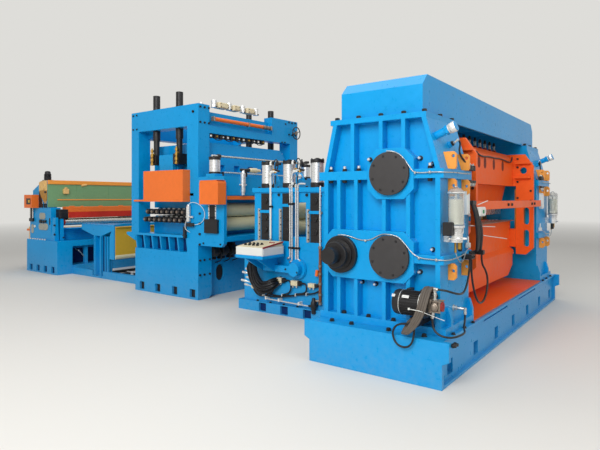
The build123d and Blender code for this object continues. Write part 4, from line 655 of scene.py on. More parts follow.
def grease_pumps():
    """Clear reservoir with grease and lid on its metal foot, pump elements and the black supply box."""
    glass = Piece("grease_glass", CLEAR, replaced="grease_pumps")
    fill = Piece("grease_fill", GREASE)
    metal = Piece("grease_metal", ALLOY)
    dark = Piece("grease_boxes", BLACK)
    brown = Piece("grease_stems", BRONZE)
    strip = Piece("duct_strips", WHITE)
    for side in (-1, 1):
        y = side * 2106
        centre = (690, y, 1303)
        glass.turned(centre, UP, [(62, 69), (276, 69), (300, 69), (346, 69), (352, 64), (352, 60), (346, 62),
                                  (66, 62), (66, 0)], 40)
        glass.turned((690, y, 1650), UP, [(0, 70), (6, 70), (14, 62), (30, 44), (38, 24), (44, 16), (50, 14)], 40)
        fill.turned(centre, UP, [(67, 61), (150, 61.4), (262, 60.6), (277, 61.2), (281, 56), (284, 30), (282, 0)], 40)
        metal.turned((690, y, 1300), UP, [(0, 44), (10, 50), (30, 52), (38, 66), (44, 74), (58, 74), (62, 70)], 40)
        for foot in ring_of((690, y), 60, 4, 0.6):
            metal.rod((*foot, 1290), (*foot, 1344), 7, 10)
        metal.turned((690, y, 1640), UP, [(0, 70.5), (3, 73), (10, 73), (13, 70.5)], 40)
        metal.turned((690, y, 1585), UP, [(0, 59), (6, 59), (8, 50), (8, 12), (70, 9), (72, 0)], 28)
        metal.rod((690, y, 1697), (690, y, 1701), 9, 12)
        for turn in (-0.4, 0.9, 2.2):
            out = Vector((math.cos(turn), side * math.sin(turn), 0))
            start = Vector((690, y, 1246)) + out * 44
            metal.turned(start, out, [(0, 17), (16, 17), (18, 12), (34, 12), (36, 8), (46, 8)], 12)
        dark.block((620, side * 2172, 1275), (700, side * 2242, 1392), 5)
        dark.block((640, side * 2160, 1290), (680, side * 2176, 1330), 3)
        brown.rod((676, side * 2080, 1120), (676, side * 2080, 1216), 11, 14)
        brown.rod((706, side * 2070, 1150), (706, side * 2070, 1216), 17, 16)
        dark.rod((700, side * 2030, 1130), (700, side * 2030, 1216), 20, 16)
        strip.block((590, side * 1620, 1440), (648, side * 1680, 1672), 6)
        strip.block((648, side * 1628, 1452), (654, side * 1672, 1660), 2)
        for z_at in (1480, 1630):
            strip.cap_screw((653, side * 1650, z_at), EAST, 7)
        strip.block((600, side * 1560, 1120), (640, side * 1600, 1170), 4)
        strip.rod((620, side * 1580, 1170), (620, side * 1580, 1230), 9, 12)
    lines("grease_lines", LUBE, 5, both_sides([
        (676, 2080, 1124), (684, 2066, 1080), (678, 1990, 1030), (668, 1900, 1012), (660, 1800, 1046),
        (650, 1740, 1100), (640, 1600, 1130)]))


grease_pumps()


def oil_fillers():
    """Knurled caps, their collars, and the small blue stubs with elbows on the sloping faces."""
    caps = Piece("filler_caps", ALLOY)
    stubs = Piece("slope_stubs", BLUE)
    tips = Piece("stub_tips", BLACK)
    elbows = Piece("stub_elbows", STEEL)
    tilt = math.radians(22)
    along = Vector((math.cos(tilt), 0, math.sin(tilt)))
    for side in (-1, 1):
        start = Vector((506, side * 2100, 2157))
        caps.turned(start + along * 143, along, [(0, 40), (2, 46), (6, 47.5), (48, 47.5), (53, 44), (55, 38),
            (54, 24), (57, 20), (57, 0)], 48, 0.045)
        caps.turned(start + along * 128, along, [(0, 40), (2, 43), (12, 43), (14, 40)], 32)
        stubs.turned(start + along * 96, along, [(0, 40), (3, 45), (26, 45), (30, 40)], 6)
        base = Vector((505, side * 1825, 2088))
        stubs.turned(base, along, [(0, 34), (30, 34), (34, 28), (48, 28)], 24)
        tips.turned(base + along * 48, along, [(0, 24), (16, 24), (20, 18)], 8)
        elbows.rod(base + along * 60, base + along * 86, 10, 12)
        elbows.rod(base + along * 80, base + along * 80 + Vector((0, -side * 64, 26)), 9, 12)
        elbows.turned(base + along * 80 + Vector((0, -side * 60, 24)), (0, -side, 0.2), [(0, 14), (18, 14), (22, 10)],
                      8)
    lines("slope_hoses", RUBBER, 9, both_sides([
        (585, 1742, 2142), (592, 1700, 2128), (588, 1740, 2050), (600, 1720, 1990), (632, 1668, 1930),
        (650, 1600, 1900), (652, 1540, 1892)]))
    blocks = Piece("distributor_blocks", BLACK)
    silver = Piece("distributor_fittings", STEEL)
    for side in (-1, 1):
        for k in range(4):
            y = side * (1620 - 44 * k)
            blocks.block((618, y - 16, 1862), (660, y + 16, 1904 + 10 * (k % 2)), 4)
            silver.turned((639, y, 1902 + 10 * (k % 2)), UP, [(0, 9), (12, 9), (13, 6), (22, 6)], 10)
            blocks.block((640, y - 16, 1742), (664, y + 16, 1770), 3)
            silver.turned((652, y, 1742), DOWN, [(0, 10), (16, 10), (18, 6), (30, 6)], 10)


oil_fillers()


def knife_frame_detail():
    """Row of spring bolts, hose, screws and painted shade in the slots on the moving upper frame, and wear strips on
    the lower beam.
    """
    black = Piece("spring_bolt_heads", BLACK, "knife_frame")
    red = Piece("spring_bolt_sleeves", RED, "knife_frame")
    silver = Piece("spring_bolt_springs", STEEL, "knife_frame")
    for k in range(11):
        y = -1060 + 212 * k
        base = (112, y, 2220)
        red.turned(base, UP, [(0, 24), (4, 26), (58, 26), (62, 22)], 18)
        silver.turned((112, y, 2281), UP, [(0, 17)] + [(6 * i + 3, 20 if i % 2 == 0 else 14) for i in range(9)]
                      + [(60, 17)], 18)
        black.turned((112, y, 2340), UP, [(0, 25), (8, 26), (10, 18), (34, 18), (37, 14), (48, 12)], 16)
        black.nut((150, y + 40, 2220), UP, 30)
    lines("upper_beam_hose", RUBBER, 10, [[
        (342, -470, 2150), (346, -380, 2112), (346, -200, 2100), (346, 60, 2118), (346, 300, 2110), (346, 520, 2122),
        (346, 760, 2108), (348, 960, 2092), (350, 1080, 2110), (346, 1120, 2180)]], "knife_frame")
    screws = Piece("knife_frame_screws", BLACK, "knife_frame")
    for side in (-1, 1):
        for x, z in ((395, 2156), (395, 2037), (395, 1831), (570, 1700), (570, 1560), (395, 1600)):
            for face, out in ((side * 1230, -side), (side * 1280, side)):
                screws.cap_screw((x, face, z), (0, out, 0), 15)
    wear = Piece("lower_wear_plate", DULL_STEEL, "knife_beam")
    wear.slab([(172, -1200), (336, -1200), (362, -1150), (362, 1150), (336, 1200), (172, 1200)], "z", 1280, 1288, 2)
    # Painted shade: dark orange ovals flush with the upper beam's face, over its slots
    shade = Piece("upper_slot_shades", DARK_ORANGE, "knife_frame")
    for y in (-316, -82, 289, 696):
        shade.slab([(y + a, z) for a, z in oval(0, 2030, 96, 132)], "x", 328.6, 331.4)


knife_frame_detail()


def exit_side_detail():
    """Box, cable bundle, ties and screws on the exit bar."""
    white = Piece("exit_bar_box", WHITE)
    white.block((652, -1462, 1420), (700, -1290, 1512), 6)
    white.block((700, -1452, 1430), (706, -1300, 1502), 2)
    for start, end, radius in (
            ((650, -1400, 1530), (672, -1130, 1572), 5), ((664, -1640, 1338), (664, -1330, 1318), 4),
            ((664, -1330, 1318), (668, -860, 1292), 4), ((664, -1330, 1232), (668, -1150, 1212), 4),
            ((668, -1150, 1212), (676, -420, 1136), 4)):
        white.rod(start, end, radius, 8)
    mark = Piece("exit_bar_mark", GREEN)
    mark.slab([(-1400, 1448), (-1352, 1448), (-1352, 1484), (-1400, 1484)], "x", 705.5, 707.5, 0.6)
    routes = []
    for number, shift in enumerate((0, 18, 36, 54, 72)):
        bow = 10 * math.sin(number * 2.1)
        routes.append([(646, -1572 + shift, 1560), (668, -1560 + shift, 1500), (684, -1546 + shift + bow, 1400),
                       (690, -1528 + shift - bow, 1290), (684, -1500 + shift * 0.8, 1180),
                       (668, -1470 + shift * 0.6, 1100), (660, -1452 + shift * 0.6, 1086)])
    for shift in (0, 18, 36):
        routes.append([(664, -1440 + shift, 1424), (682, -1424 + shift, 1350), (686, -1400 + shift, 1260),
                       (680, -1376 + shift * 0.6, 1170), (668, -1366 + shift * 0.5, 1086)])
    lines("exit_cables", RUBBER, 12.5, routes)
    clamp = Piece("cable_clamps", BLACK)
    clamp.block((610, -1590, 1536), (672, -1484, 1574), 5)
    clamp.block((640, -1462, 1396), (690, -1386, 1426), 4)
    for y in (-279, -125, 900, 1050):
        clamp.cap_screw((651, y, 1524), EAST, 17)


exit_side_detail()


def feeder_pipes():
    """Standing air pipes on the near frame with elbows, unions and clamps, and the rusty drop pipe."""
    y_at = -1012
    lines("feeder_air_pipes", WHITE, 16, [
        [(-2327, y_at, 1002), (-2327, y_at, 1480), (-2327, y_at, 1900), (-2327, y_at, 1962), (-2290, y_at, 1968),
         (-2226, y_at + 20, 1968)]])
    lines("feeder_steel_pipes", ALLOY, 12, [
        [(-2014, y_at, 786), (-1985, y_at, 790), (-1985, y_at, 840), (-1985, y_at, 1300), (-1985, y_at, 1789)],
        [(-1978, y_at, 736), (-1950, y_at, 740), (-1950, y_at, 800), (-1950, y_at, 1300), (-1950, y_at, 1900),
         (-1946, y_at, 1946), (-1900, y_at + 10, 1958), (-1800, y_at + 40, 1960)],
        [(-1850, y_at, 716), (-1884, y_at, 718), (-1884, y_at, 790), (-1884, y_at, 1300), (-1884, y_at, 1789)],
        [(-1818, y_at, 762), (-1850, y_at, 766), (-1850, y_at, 830), (-1850, y_at, 1300), (-1850, y_at, 1740),
         (-1846, y_at, 1786), (-1800, y_at, 1792), (-1735, y_at + 10, 1788)]])
    unions = Piece("pipe_unions", STEEL)
    clamps = Piece("pipe_clamps", BLACK)
    for x, z in ((-2327, 1004), (-2327, 1900), (-1985, 1730), (-1950, 1850), (-1884, 1740), (-1850, 1700)):
        unions.turned((x, y_at, z), UP, [(0, 17), (4, 22), (30, 22), (34, 17)], 8)
    for x, z, along in ((-2014, 786, -1), (-1978, 736, -1), (-1850, 716, 1), (-1818, 762, 1)):
        unions.turned((x, y_at, z), (along, 0, -0.6), [(-12, 16), (8, 17), (12, 14), (22, 12)], 8)
    for low, high, z in ((-2350, -2296, 1480), (-2008, -1928, 1519), (-2008, -1926, 926), (-1908, -1826, 926)):
        clamps.block((low, -1034, z - 14), (high, -986, z + 14), 4)
        clamps.cap_screw(((low + high) / 2, -1033, z), NEAR, 9)
    lines("drop_pipe_top", ALLOY, 13, [
        [(-1488, -1016, 960), (-1488, -1016, 1300), (-1488, -1016, 1690), (-1486, -1010, 1756)]])
    lines("drop_pipe", COPPER, 19, [
        [(-1488, -1016, 212), (-1488, -1016, 300), (-1488, -1016, 700), (-1488, -1016, 964)]])
    valve = Piece("drop_valve", ORANGE)
    valve.turned((-1536, -1030, 582), (0.12, 0, 1), [(0, 16), (6, 22), (74, 22), (82, 16)], 16)
    valve.rod((-1530, -1028, 620), (-1492, -1018, 620), 10, 10)
    metal = Piece("drop_unions", DULL_STEEL)
    for z in (215, 330, 470, 600, 700, 940):
        metal.turned((-1488, -1016, z), UP, [(0, 20), (4, 27), (30, 27), (34, 20)], 8)
    metal.block((-1512, -1018, 1392), (-1464, -988, 1420), 4)
    metal.block((-1512, -1018, 800), (-1464, -988, 828), 4)
    metal.rod((-1560, -1060, 266), (-1488, -1018, 262), 14, 12)
    tap = Piece("drain_valve", BLACK)
    tap.turned((-1560, -1060, 96), UP, [(0, 26), (8, 32), (70, 32), (86, 40), (150, 40), (168, 28), (206, 20)], 18)
    tap.block((-1586, -1066, 176), (-1534, -986, 206), 5)
    tap.turned((-1640, -1060, 190), EAST, [(0, 14), (24, 20), (60, 20), (80, 26)], 12)
    Piece("plinth_rail", ALLOY).rod((-2375, -1062, 203), (-1642, -1062, 186), 9, 12)
    clips = Piece("rail_clips", WHITE)
    for x, z in ((-2370, 203), (-2140, 198), (-1800, 190)):
        clips.block((x - 11, -1074, z - 14), (x + 11, -988, z + 30), 3)


feeder_pipes()


def feeder_connectors():
    """Pale plugs on the feeder's face, their black plugs, and the leads that drop to the plinth."""
    pale = Piece("connector_housings", CREAM_BOX)
    dark = Piece("connector_plugs", BLACK)
    glands = Piece("connector_glands", ALLOY)
    for left, right, z_low, z_high in ((-2208, -2112, 434, 509), (-1953, -1842, 420, 492), (-1670, -1564, 424, 480)):
        pale.block((left, -1046, z_low), (right, -988, z_high), 5)
        pale.block((left + 8, -1052, z_low + 10), (right - 22, -1045, z_high - 12), 2)
        for x in (left + 24, right - 28):
            glands.turned((x, -1020, z_low + 2), DOWN, [(0, 12), (10, 12), (12, 9), (26, 9)], 8)
            glands.cap_screw((x, -1045, z_high - 8), NEAR, 5)
        middle = (z_low + z_high) / 2 + 8
        dark.block((right - 2, -1044, z_low + 8), (right + 44, -990, z_high - 2), 6)
        dark.turned((right + 42, -1018, middle), EAST, [(0, 20), (8, 20), (12, 15), (34, 13)], 14)
    rest = -1018
    routes = [
        [(-2040, rest, 480), (-2010, rest, 484), (-1962, rest - 14, 470), (-1948, rest - 18, 410),
         (-1962, rest - 10, 350), (-2020, rest, 296), (-2110, rest, 274)],
        [(-1770, rest, 462), (-1740, rest, 468), (-1700, rest - 14, 452), (-1690, rest - 18, 390),
         (-1716, rest - 12, 346), (-1800, rest, 322), (-1900, rest, 306)],
        [(-1494, rest + 2, 400), (-1530, rest, 372), (-1600, rest, 346), (-1720, rest, 324), (-1860, rest, 300),
         (-2020, rest, 268), (-2200, rest, 250), (-2330, rest - 6, 262), (-2420, rest - 10, 290)],
        [(-1880, rest - 8, 292), (-2040, rest - 10, 262), (-2200, rest - 14, 238), (-2330, rest - 20, 236),
         (-2450, rest - 30, 240), (-2540, rest - 40, 270), (-2590, rest - 40, 330), (-2580, rest - 30, 400),
         (-2540, rest - 20, 440)],
        [(-2240, rest - 24, 440), (-2262, rest - 30, 380), (-2290, rest - 30, 320), (-2330, rest - 26, 270),
         (-2400, rest - 30, 236), (-2480, rest - 36, 226), (-2560, rest - 40, 250), (-2610, rest - 30, 310)],
        [(-2196, rest - 30, 470), (-2224, rest - 40, 400), (-2240, rest - 36, 340), (-2280, rest - 24, 288),
         (-2370, rest - 10, 268), (-2480, rest - 8, 282)]]
    # Wide leads round the bundle under the desk
    for k in range(7):
        bow = 12 * math.sin(1.9 * k)
        routes.append([
            (-2500 + 12 * k, -1130 - 9 * k, 804), (-2560 - 9 * k, -1130 - 8 * k, 700 + bow),
            (-2588 - 5.4 * k, -1110 - 10 * k, 560), (-2520 - 5.4 * k, -1090 - 8 * k, 400 - 7.2 * k),
            (-2400 + bow, -1080 - 8 * k, 320 - 9 * k), (-2270 + bow, -1070 - 6 * k, 352 - 7.2 * k),
            (-2180 + 7.2 * k, -1040 - 2 * k, 440 - 5.4 * k), (-2150 + 5.4 * k, -1000, 520 - 7.2 * k)])
    lines("connector_leads", RUBBER, 10.5, routes)
    ties = Piece("lead_ties", WHITE)
    for x, z in ((-2110, 268), (-1880, 300), (-1700, 328)):
        ties.block((x - 5, -1040, z - 20), (x + 5, -988, z + 20), 2)
    ties.rod((-2440, -1066, 232), (-2380, -1072, 262), 4, 8)
    ties.rod((-2430, -1074, 256), (-2370, -1066, 230), 4, 8)


feeder_connectors()


def feeder_desk():
    """Top, keys, lamps, edge and skirts of the operator desk."""
    Piece("desk_top", CREAM_BOX).slab([(-1492, 950), (-1072, 950), (-1072, 1012), (-1492, 958)], "x", -2514, -2064, 3)
    keys = Piece("desk_keys", BLACK)
    lamps = Piece("desk_lamps", RED)
    for row, y in enumerate((-1400, -1330)):
        for k in range(4):
            x = -2440 + 70 * k + 18 * row
            lift = 958 + (y + 1492) * 0.1286
            keys.turned((x, y, lift - 3), (0, -0.127, 0.992),
                        [(0, 20), (3, 22), (10, 22), (11, 16), (24, 16), (28, 12), (28, 0)], 20)
    for k in range(3):
        lamps.turned((-2180 + 34 * k, -1200, 993), UP, [(0, 12), (10, 12), (14, 8), (15, 0)], 16)
    edge = Piece("desk_edge", RED)
    edge.slab([(-1494, 940), (-1070, 994), (-1070, 1014), (-1494, 960)], "x", -2066, -2052, 2)
    skirt = Piece("desk_skirt", WHITE)
    skirt.block((-2518, -1504, 848), (-2060, -1497, 944), 3)
    skirt.block((-2059, -1490, 848), (-2051, -1076, 936), 3)
    Piece("desk_rim", BLUE).block((-2530, -1510, 806), (-2048, -1060, 846), 5)


feeder_desk()


def plinth_shades():
    """Painted shade: dark sheets inside the pockets of the feeder's plinth; and its left end fittings."""
    paint_pocket_shade(Piece("plinth_pocket_shade", SHADE_BLUE), (-2445, -2060, -1675), PLINTH_FACES, 64, 14, 126)
    Piece("left_end_strip", CREAM_BOX).block((-2700, -1000, 300), (-2644, -946, 592), 5)
    metal = Piece("left_end_fittings", ALLOY)
    for z, reach in ((560, 120), (500, 180), (440, 110), (380, 200), (330, 140)):
        metal.turned((-2698, -974, z), (-1, -0.1, 0.12), [(0, 21), (18, 21), (20, 14), (reach * 0.5, 14),
            (reach * 0.55, 20), (reach, 17)], 12)


plinth_shades()


def feeder_cylinder_detail():
    """Caps, tie rods, fittings and blue tubes of the air cylinders on both sides."""
    dark = Piece("cylinder_nuts", BLACK)
    bands = Piece("cylinder_bands", ALLOY)
    for x in FEEDER_SLOTS:
        for y in (-930, 1450):
            dark.turned((x, y, 2115), UP, [(0, 40), (6, 40), (8, 24), (14, 24), (14, 0)], 28)
            for z in (1804, 2050):
                bands.turned((x, y, z), UP, [(0, 86), (2, 87), (8, 87), (10, 86)], 40)
            for turn in (0.6, 2.2, 3.8, 5.4):
                dark.nut((x + 74 * math.cos(turn), y + 74 * math.sin(turn), 2114), UP, 17)
    fittings = Piece("fitting_bodies", BLACK)
    bright = Piece("cylinder_fittings", WHITE)
    brass = Piece("cylinder_valves", BRONZE)
    routes = []
    for left, right in ((-2445, -2060), (-2060, -1590)):
        for y in (-1000, 1440):
            mid = (left + right) / 2 + 10
            fittings.turned((left + 92, y, 2080), EAST, [(0, 17), (20, 20), (46, 20), (50, 14), (70, 14)], 12)
            fittings.turned((mid + 20, y, 2040), UP, [(0, 15), (18, 20), (46, 20), (50, 12), (78, 10)], 12)
            fittings.turned((right - 96, y, 2070), (-1, 0, 0), [(0, 16), (26, 20), (52, 18), (70, 12)], 12)
            fittings.rod((mid - 30, y, 1990), (mid + 64, y, 1968), 14, 12)
            bright.turned((left + 120, y - 6, 2052), UP, [(0, 15), (6, 21), (40, 21), (46, 14), (60, 11)], 14)
            bright.turned((left + 112, y - 4, 1780), UP, [(0, 20), (8, 24), (26, 22), (34, 12)], 12)
            bright.rod((left + 120, y, 1968), (mid + 10, y, 1984), 12, 12)
            brass.turned((mid - 10, y, 1936), UP, [(0, 12), (8, 18), (30, 18), (36, 12)], 8)
            brass.turned((left + 150, y, 1990), EAST, [(0, 13), (8, 17), (24, 17), (30, 12)], 8)
            routes.append([(left + 118, y, 1800), (left + 112, y, 1880), (left + 140, y - 8, 1936),
                           (mid + 6, y - 8, 1944), (mid + 44, y - 8, 1900), (mid + 40, y - 4, 1830)])
            routes.append([(mid - 60, y, 1790), (mid - 70, y - 8, 1860), (mid - 34, y - 14, 1926),
                           (mid + 24, y - 14, 1924), (mid + 70, y - 8, 1850), (mid + 60, y, 1784)])
    lines("cylinder_blue_tubes", BLUE, 5, routes)
    leads = []
    for left in (-2445, -2060):
        for y in (-1000, 1440):
            leads.append([(left + 160, y, 2080), (left + 200, y - 10, 2140), (left + 240, y - 10, 2120),
                          (left + 252, y, 2070), (left + 230, y, 2000)])
            leads.append([(left + 200, y, 2090), (left + 190, y, 2020), (left + 210, y - 6, 1940),
                          (left + 190, y, 1860), (left + 200, y, 1790)])
    lines("cylinder_black_tubes", RUBBER, 7, leads)


feeder_cylinder_detail()


def feeder_frame_detail():
    """Wear strips with their bolts, black bearing end caps, plinth screws and the row between the frames."""
    strips = Piece("frame_strips", DULL_STEEL)
    bolts = Piece("frame_bolts", BLACK)
    caps = Piece("feeder_bearing_caps", BLACK)
    for x in FEEDER_SLOTS:
        for face, side in FEEDER_FACES:
            out = (0, side, 0)
            strips.block((x - 111, face, 1015), (x - 81, face + side * 7, 1448), 2)
            for k in range(5):
                bolts.cap_screw((x - 96, face + side * 6, 1050 + 92 * k), out, 9)
            for z in (1628, 1040):
                bolts.cap_screw((x + 100, face, z), out, 15)
            for z in (1150, 1320, 1560):
                caps.turned((x, face + side * 11, z), out, [(-14, 40), (2, 42), (5, 38), (5, 16), (10, 14), (10, 0)],
                            28)
    for x in (-2600, -2250, -1760, -1350):
        for y in (-935, 1455):
            bolts.nut((x, y, 1742), UP, 30)
    for k in range(6):
        for y in (-1020, 1540):
            bolts.nut((-2560 + 236 * k, y, 140), UP, 28)
    for x, y, z, radius in ((-2190, -990, 1644, 20), (-1715, -990, 1640, 20), (-1980, -1114, 646, 12),
                            (-1790, -1114, 618, 12)):
        bolts.cap_screw((x, y, z), NEAR, radius)
    Piece("boss_ring", BLUE).turned(
        (-1858, -996, 646), NEAR, [(0, 138), (6, 140), (12, 138), (14, 128), (12, 120), (12, 0)], 56)


feeder_frame_detail()


def leveller_bolts():
    """Bolt heads on the column faces, the pinch stand plates and the foot of the leveller."""
    bolts = Piece("leveller_bolts", BLACK)
    rows = [((-990, -900, -810), (3035, 2793), 17), ((-994, -904, -790), (620, 390), 17)]
    near = [(y, z, size) for ys, zs, size in rows for z in zs for y in ys]
    far = [(1275, 3055, 17), (1371, 3052, 17), (1469, 3060, 17), (1279, 2820, 17), (1371, 2817, 17), (1482, 2818, 17),
           (1060, 2653, 15), (1150, 2657, 15), (1168, 3011, 15)]
    for y, z, size in near + far:
        bolts.cap_screw((-3785, y, z), EAST, size)
    bolts.cap_screw((-3896, -1030, 2962), NEAR, 20)
    for face, side in LEVELLER_FACES:
        for x, z, size in (
                (-3740, 1358, 19), (-3740, 1203, 19), (-3740, 1038, 19), (-3740, 876, 19), (-3660, 900, 14),
                (-3290, 900, 14), (-5440, 3035, 15), (-5440, 2793, 15), (-5340, 3035, 15), (-5340, 2793, 15)):
            bolts.cap_screw((x, face, z), (0, side, 0), size)


leveller_bolts()


def leveller_top():
    """Screw heads, stubs and cream drive boxes on the top beams, silver cylinders on the girder, the orange line
    shaft with its coupling, and the far handwheel."""
    tubes = Piece("girder_cylinders", ALLOY)
    boxes = Piece("girder_boxes", CREAM_BOX)
    dark = Piece("girder_caps", BLACK)
    for y in (-603, -255, 80, 427):
        tubes.turned((-3880, y, 3085), UP, [(0, 52), (10, 52), (14, 45), (96, 45), (100, 48), (114, 48), (120, 40),
            (120, 16), (130, 14), (130, 0)], 28)
        dark.nut((-3820, y, 3085), UP, 26)
    for low, high in ((-543, -324), (-195, -46), (144, 328)):
        boxes.block((-3950, low, 3085), (-3810, high, 3178), 8)
        boxes.block((-3806, low + 16, 3098), (-3800, high - 16, 3164), 2)
        for y in (low + 26, high - 26):
            dark.cap_screw((-3800, y, 3108), EAST, 7)
            dark.cap_screw((-3800, y, 3154), EAST, 7)
    tubes.turned((-3860, -900, 3085), UP, [(0, 34), (8, 34), (10, 26), (30, 26), (38, 20), (40, 0)], 20)
    shaft = Piece("line_shaft", ORANGE)
    shaft.rod((-3752, -745, 2870), (-3752, 470, 2870), 33, 24)
    metal = Piece("line_shaft_coupling", DULL_STEEL)
    metal.rod((-3752, 466, 2870), (-3752, 700, 2870), 22, 18)
    metal.turned((-3752, 474, 2870), FAR, [(0, 36), (8, 40), (50, 40), (58, 34), (58, 26), (96, 26), (96, 36),
        (150, 36), (156, 30)], 24)
    for y in (-735, 90, 690):
        metal.block((-3790, y - 16, 2832), (-3716, y + 16, 2908), 5)
    metal.turned((-3700, 1400, 2850), EAST, [(-84, 22), (-6, 22), (0, 40), (10, 40), (12, 20), (20, 20)], 20)
    wheel = Piece("far_handwheel", BLACK)
    rim = ring_of((1400, 2850), 116, 36)
    for first, second in zip(rim, rim[1:] + rim[:1]):
        wheel.rod((-3694, *first), (-3694, *second), 10, 8, 0)
    for spoke in ring_of((1400, 2850), 116, 3, 0.4):
        wheel.rod((-3694, 1400, 2850), (-3694, *spoke), 7, 8, 1)
    for y in (-910, 1430):
        for x in (-4956, -4365):
            dark.turned((x, y, 3340), UP, [(-2, 60), (4, 58), (8, 46), (8, 14), (14, 12), (14, 0)], 32)
            dark.turned((x, y, 3085), UP, [(0, 84), (10, 84), (14, 78), (14, 60)], 32)


leveller_top()


def leveller_valves():
    """Row of valves and boxes under the girder flange, and the motors below the pinch stand."""
    dark = Piece("girder_valves", BLACK)
    pale = Piece("girder_valve_ends", ALLOY)
    brown = Piece("girder_valve_coils", BRONZE)
    for k in range(11):
        y = -730 + 128 * k
        dark.block((-3868, y - 44, 2570), (-3806, y + 44, 2640), 6)
        if k % 3 == 0:
            pale.block((-3806, y - 30, 2584), (-3792, y + 4, 2620), 3)
        elif k % 3 == 1:
            brown.turned((-3806, y - 6, 2604), EAST, [(0, 17), (14, 17), (18, 12)], 16)
        else:
            pale.turned((-3806, y + 10, 2600), EAST, [(0, 12), (8, 14), (14, 8)], 10)
    routes = []
    for k in range(5):
        y = -680 + 256 * k
        routes.append([(-3800, y, 2576), (-3796, y + 30, 2548), (-3796, y + 110, 2544),
                       (-3798, y + 180, 2560), (-3800, y + 210, 2586)])
    lines("girder_valve_leads", RUBBER, 7, routes)
    for y in (-742, -540, -330):
        dark.turned((-3810, y, 740), FAR, [(0, 80), (8, 92), (30, 96), (110, 96), (118, 80), (160, 70), (166, 30)],
                    28)
        dark.block((-3890, y + 30, 822), (-3744, y + 96, 858), 8)
        dark.block((-3896, y + 16, 600), (-3800, y + 120, 660), 6)
    leads = []
    for y in (-700, -500, -300):
        leads.append([(-3800, y + 60, 820), (-3760, y + 80, 800), (-3720, y + 110, 700),
                      (-3730, y + 130, 610), (-3800, y + 140, 560), (-3880, y + 130, 540)])
    lines("drive_leads", RUBBER, 9, leads)


leveller_valves()


def leveller_cassette_detail():
    """Brass valve stacks, the dark screws' collars and the blue box's bolts, on the roll cassette."""
    brass = Piece("cassette_brass", BRONZE, "cassette")
    dark = Piece("cassette_collars", BLACK, "cassette")
    y = -1012
    for x in (-4946, -4320):
        brass.turned((x, y, 2150), UP, [(0, 18), (8, 28), (34, 28), (38, 17), (64, 17), (70, 29), (112, 29),
            (118, 16), (142, 16), (148, 27), (190, 27), (196, 15), (220, 15), (226, 25), (262, 25), (268, 13),
            (290, 13)], 12)
        brass.block((x - 24, y - 10, 2250), (x + 10, y + 22, 2278), 3)
        brass.block((x - 20, y - 10, 2334), (x + 24, y + 40, 2354), 3)
    for x in (-4836, -4485):
        for z in (2020, 2140, 2260):
            dark.cap_screw((x, -870, z), NEAR, 10)
    shine = Piece("cassette_pipes", ALLOY, "cassette")
    shine.rod((-3872, -640, 2440), (-3872, 1180, 2440), 12, 14)
    shine.rod((-3872, -640, 1560), (-3872, 1180, 1560), 10, 14)


leveller_cassette_detail()


def spindle_ends():
    """Joints of the drive spindles on the near ends of both rows of work rolls, and the box between the screws."""
    for name, body, first, z in (
            ("lower_spindles", "line", -5156, 1236), ("upper_spindles", "cassette", -5091, 1370)):
        joints = Piece(name, BLACK, body)
        heads = Piece(name + "_heads", DULL_STEEL, body)
        for k in range(8):
            x = first + 130 * k
            joints.turned((x, -900, z), NEAR, [(-30, 40), (0, 47), (44, 47), (50, 38), (66, 38), (70, 44), (100, 44),
                (106, 36)], 20)
            heads.turned((x, -1006, z), NEAR, [(0, 22), (6, 24), (16, 20), (16, 0)], 16)
    box = Piece("screw_box", BLUE, "cassette")
    box.block((-4824, -966, 2052), (-4476, -869, 2322), 8)


spindle_ends()


def pinch_stand_detail():
    """Rods with their ends, guide strips, air unit and valve of the exit pinch stand."""
    rods = Piece("pinch_sync_rods", STEEL)
    rods.rod((-3514, -1000, 2250), (-3514, 1500, 2250), 18, 18)
    rods.rod((-3430, -850, 1993), (-3430, 1350, 1993), 15, 16)
    dark = Piece("pinch_rod_ends", BLACK)
    for y, out in ((-850, -1), (1350, 1)):
        dark.turned((-3514, y, 2250), (0, out, 0), [(-30, 24), (-24, 34), (24, 34), (30, 24)], 16)
        dark.block((-3540, y - 14, 2200), (-3488, y + 14, 2250), 5)
        dark.block((-3452, y - 14, 1929), (-3408, y + 14, 2006), 5)
    for x in (-3541, -3395):
        for z in (1310, 1400, 1470):
            for y, out in ((-1036, -1), (1556, 1)):
                dark.cap_screw((x, y, z), (0, out, 0), 7)
    strips = Piece("pinch_strips", ALLOY)
    for x in (-3541, -3395):
        for y in (-1033, 1553):
            strips.block((x - 12, y - 4, 1280), (x + 12, y + 4, 1490), 2)
    unit = Piece("air_unit", ALLOY)
    unit.turned((-3196, -640, 1640), UP, [(0, 20), (6, 26), (40, 26), (46, 34), (120, 36), (124, 30), (136, 30),
        (140, 40), (340, 40), (350, 30), (400, 22)], 24)
    unit.block((-3222, -668, 1790), (-3170, -612, 1822), 5)
    unit.rod((-3196, -720, 1806), (-3196, -560, 1806), 11, 12)
    dark.turned((-3196, -700, 2036), FAR, [(0, 14), (10, 22), (150, 22), (160, 30), (196, 30), (204, 18)], 18)
    dark.block((-3220, -656, 1930), (-3172, -560, 2012), 6)
    Piece("air_unit_coil", CREAM_BOX).turned((-3196, -494, 2036), FAR,
        [(0, 22), (10, 36), (90, 40), (160, 40), (170, 30), (250, 24)], 20)
    edge = Piece("cover_folds", ORANGE)
    for near, far in ((-1202, -1030), (1550, 1722)):
        edge.slab([(near, 1861), (far, 1861), (far, 1866), (near, 1866)], "x", -3570, -3182, 1)


pinch_stand_detail()


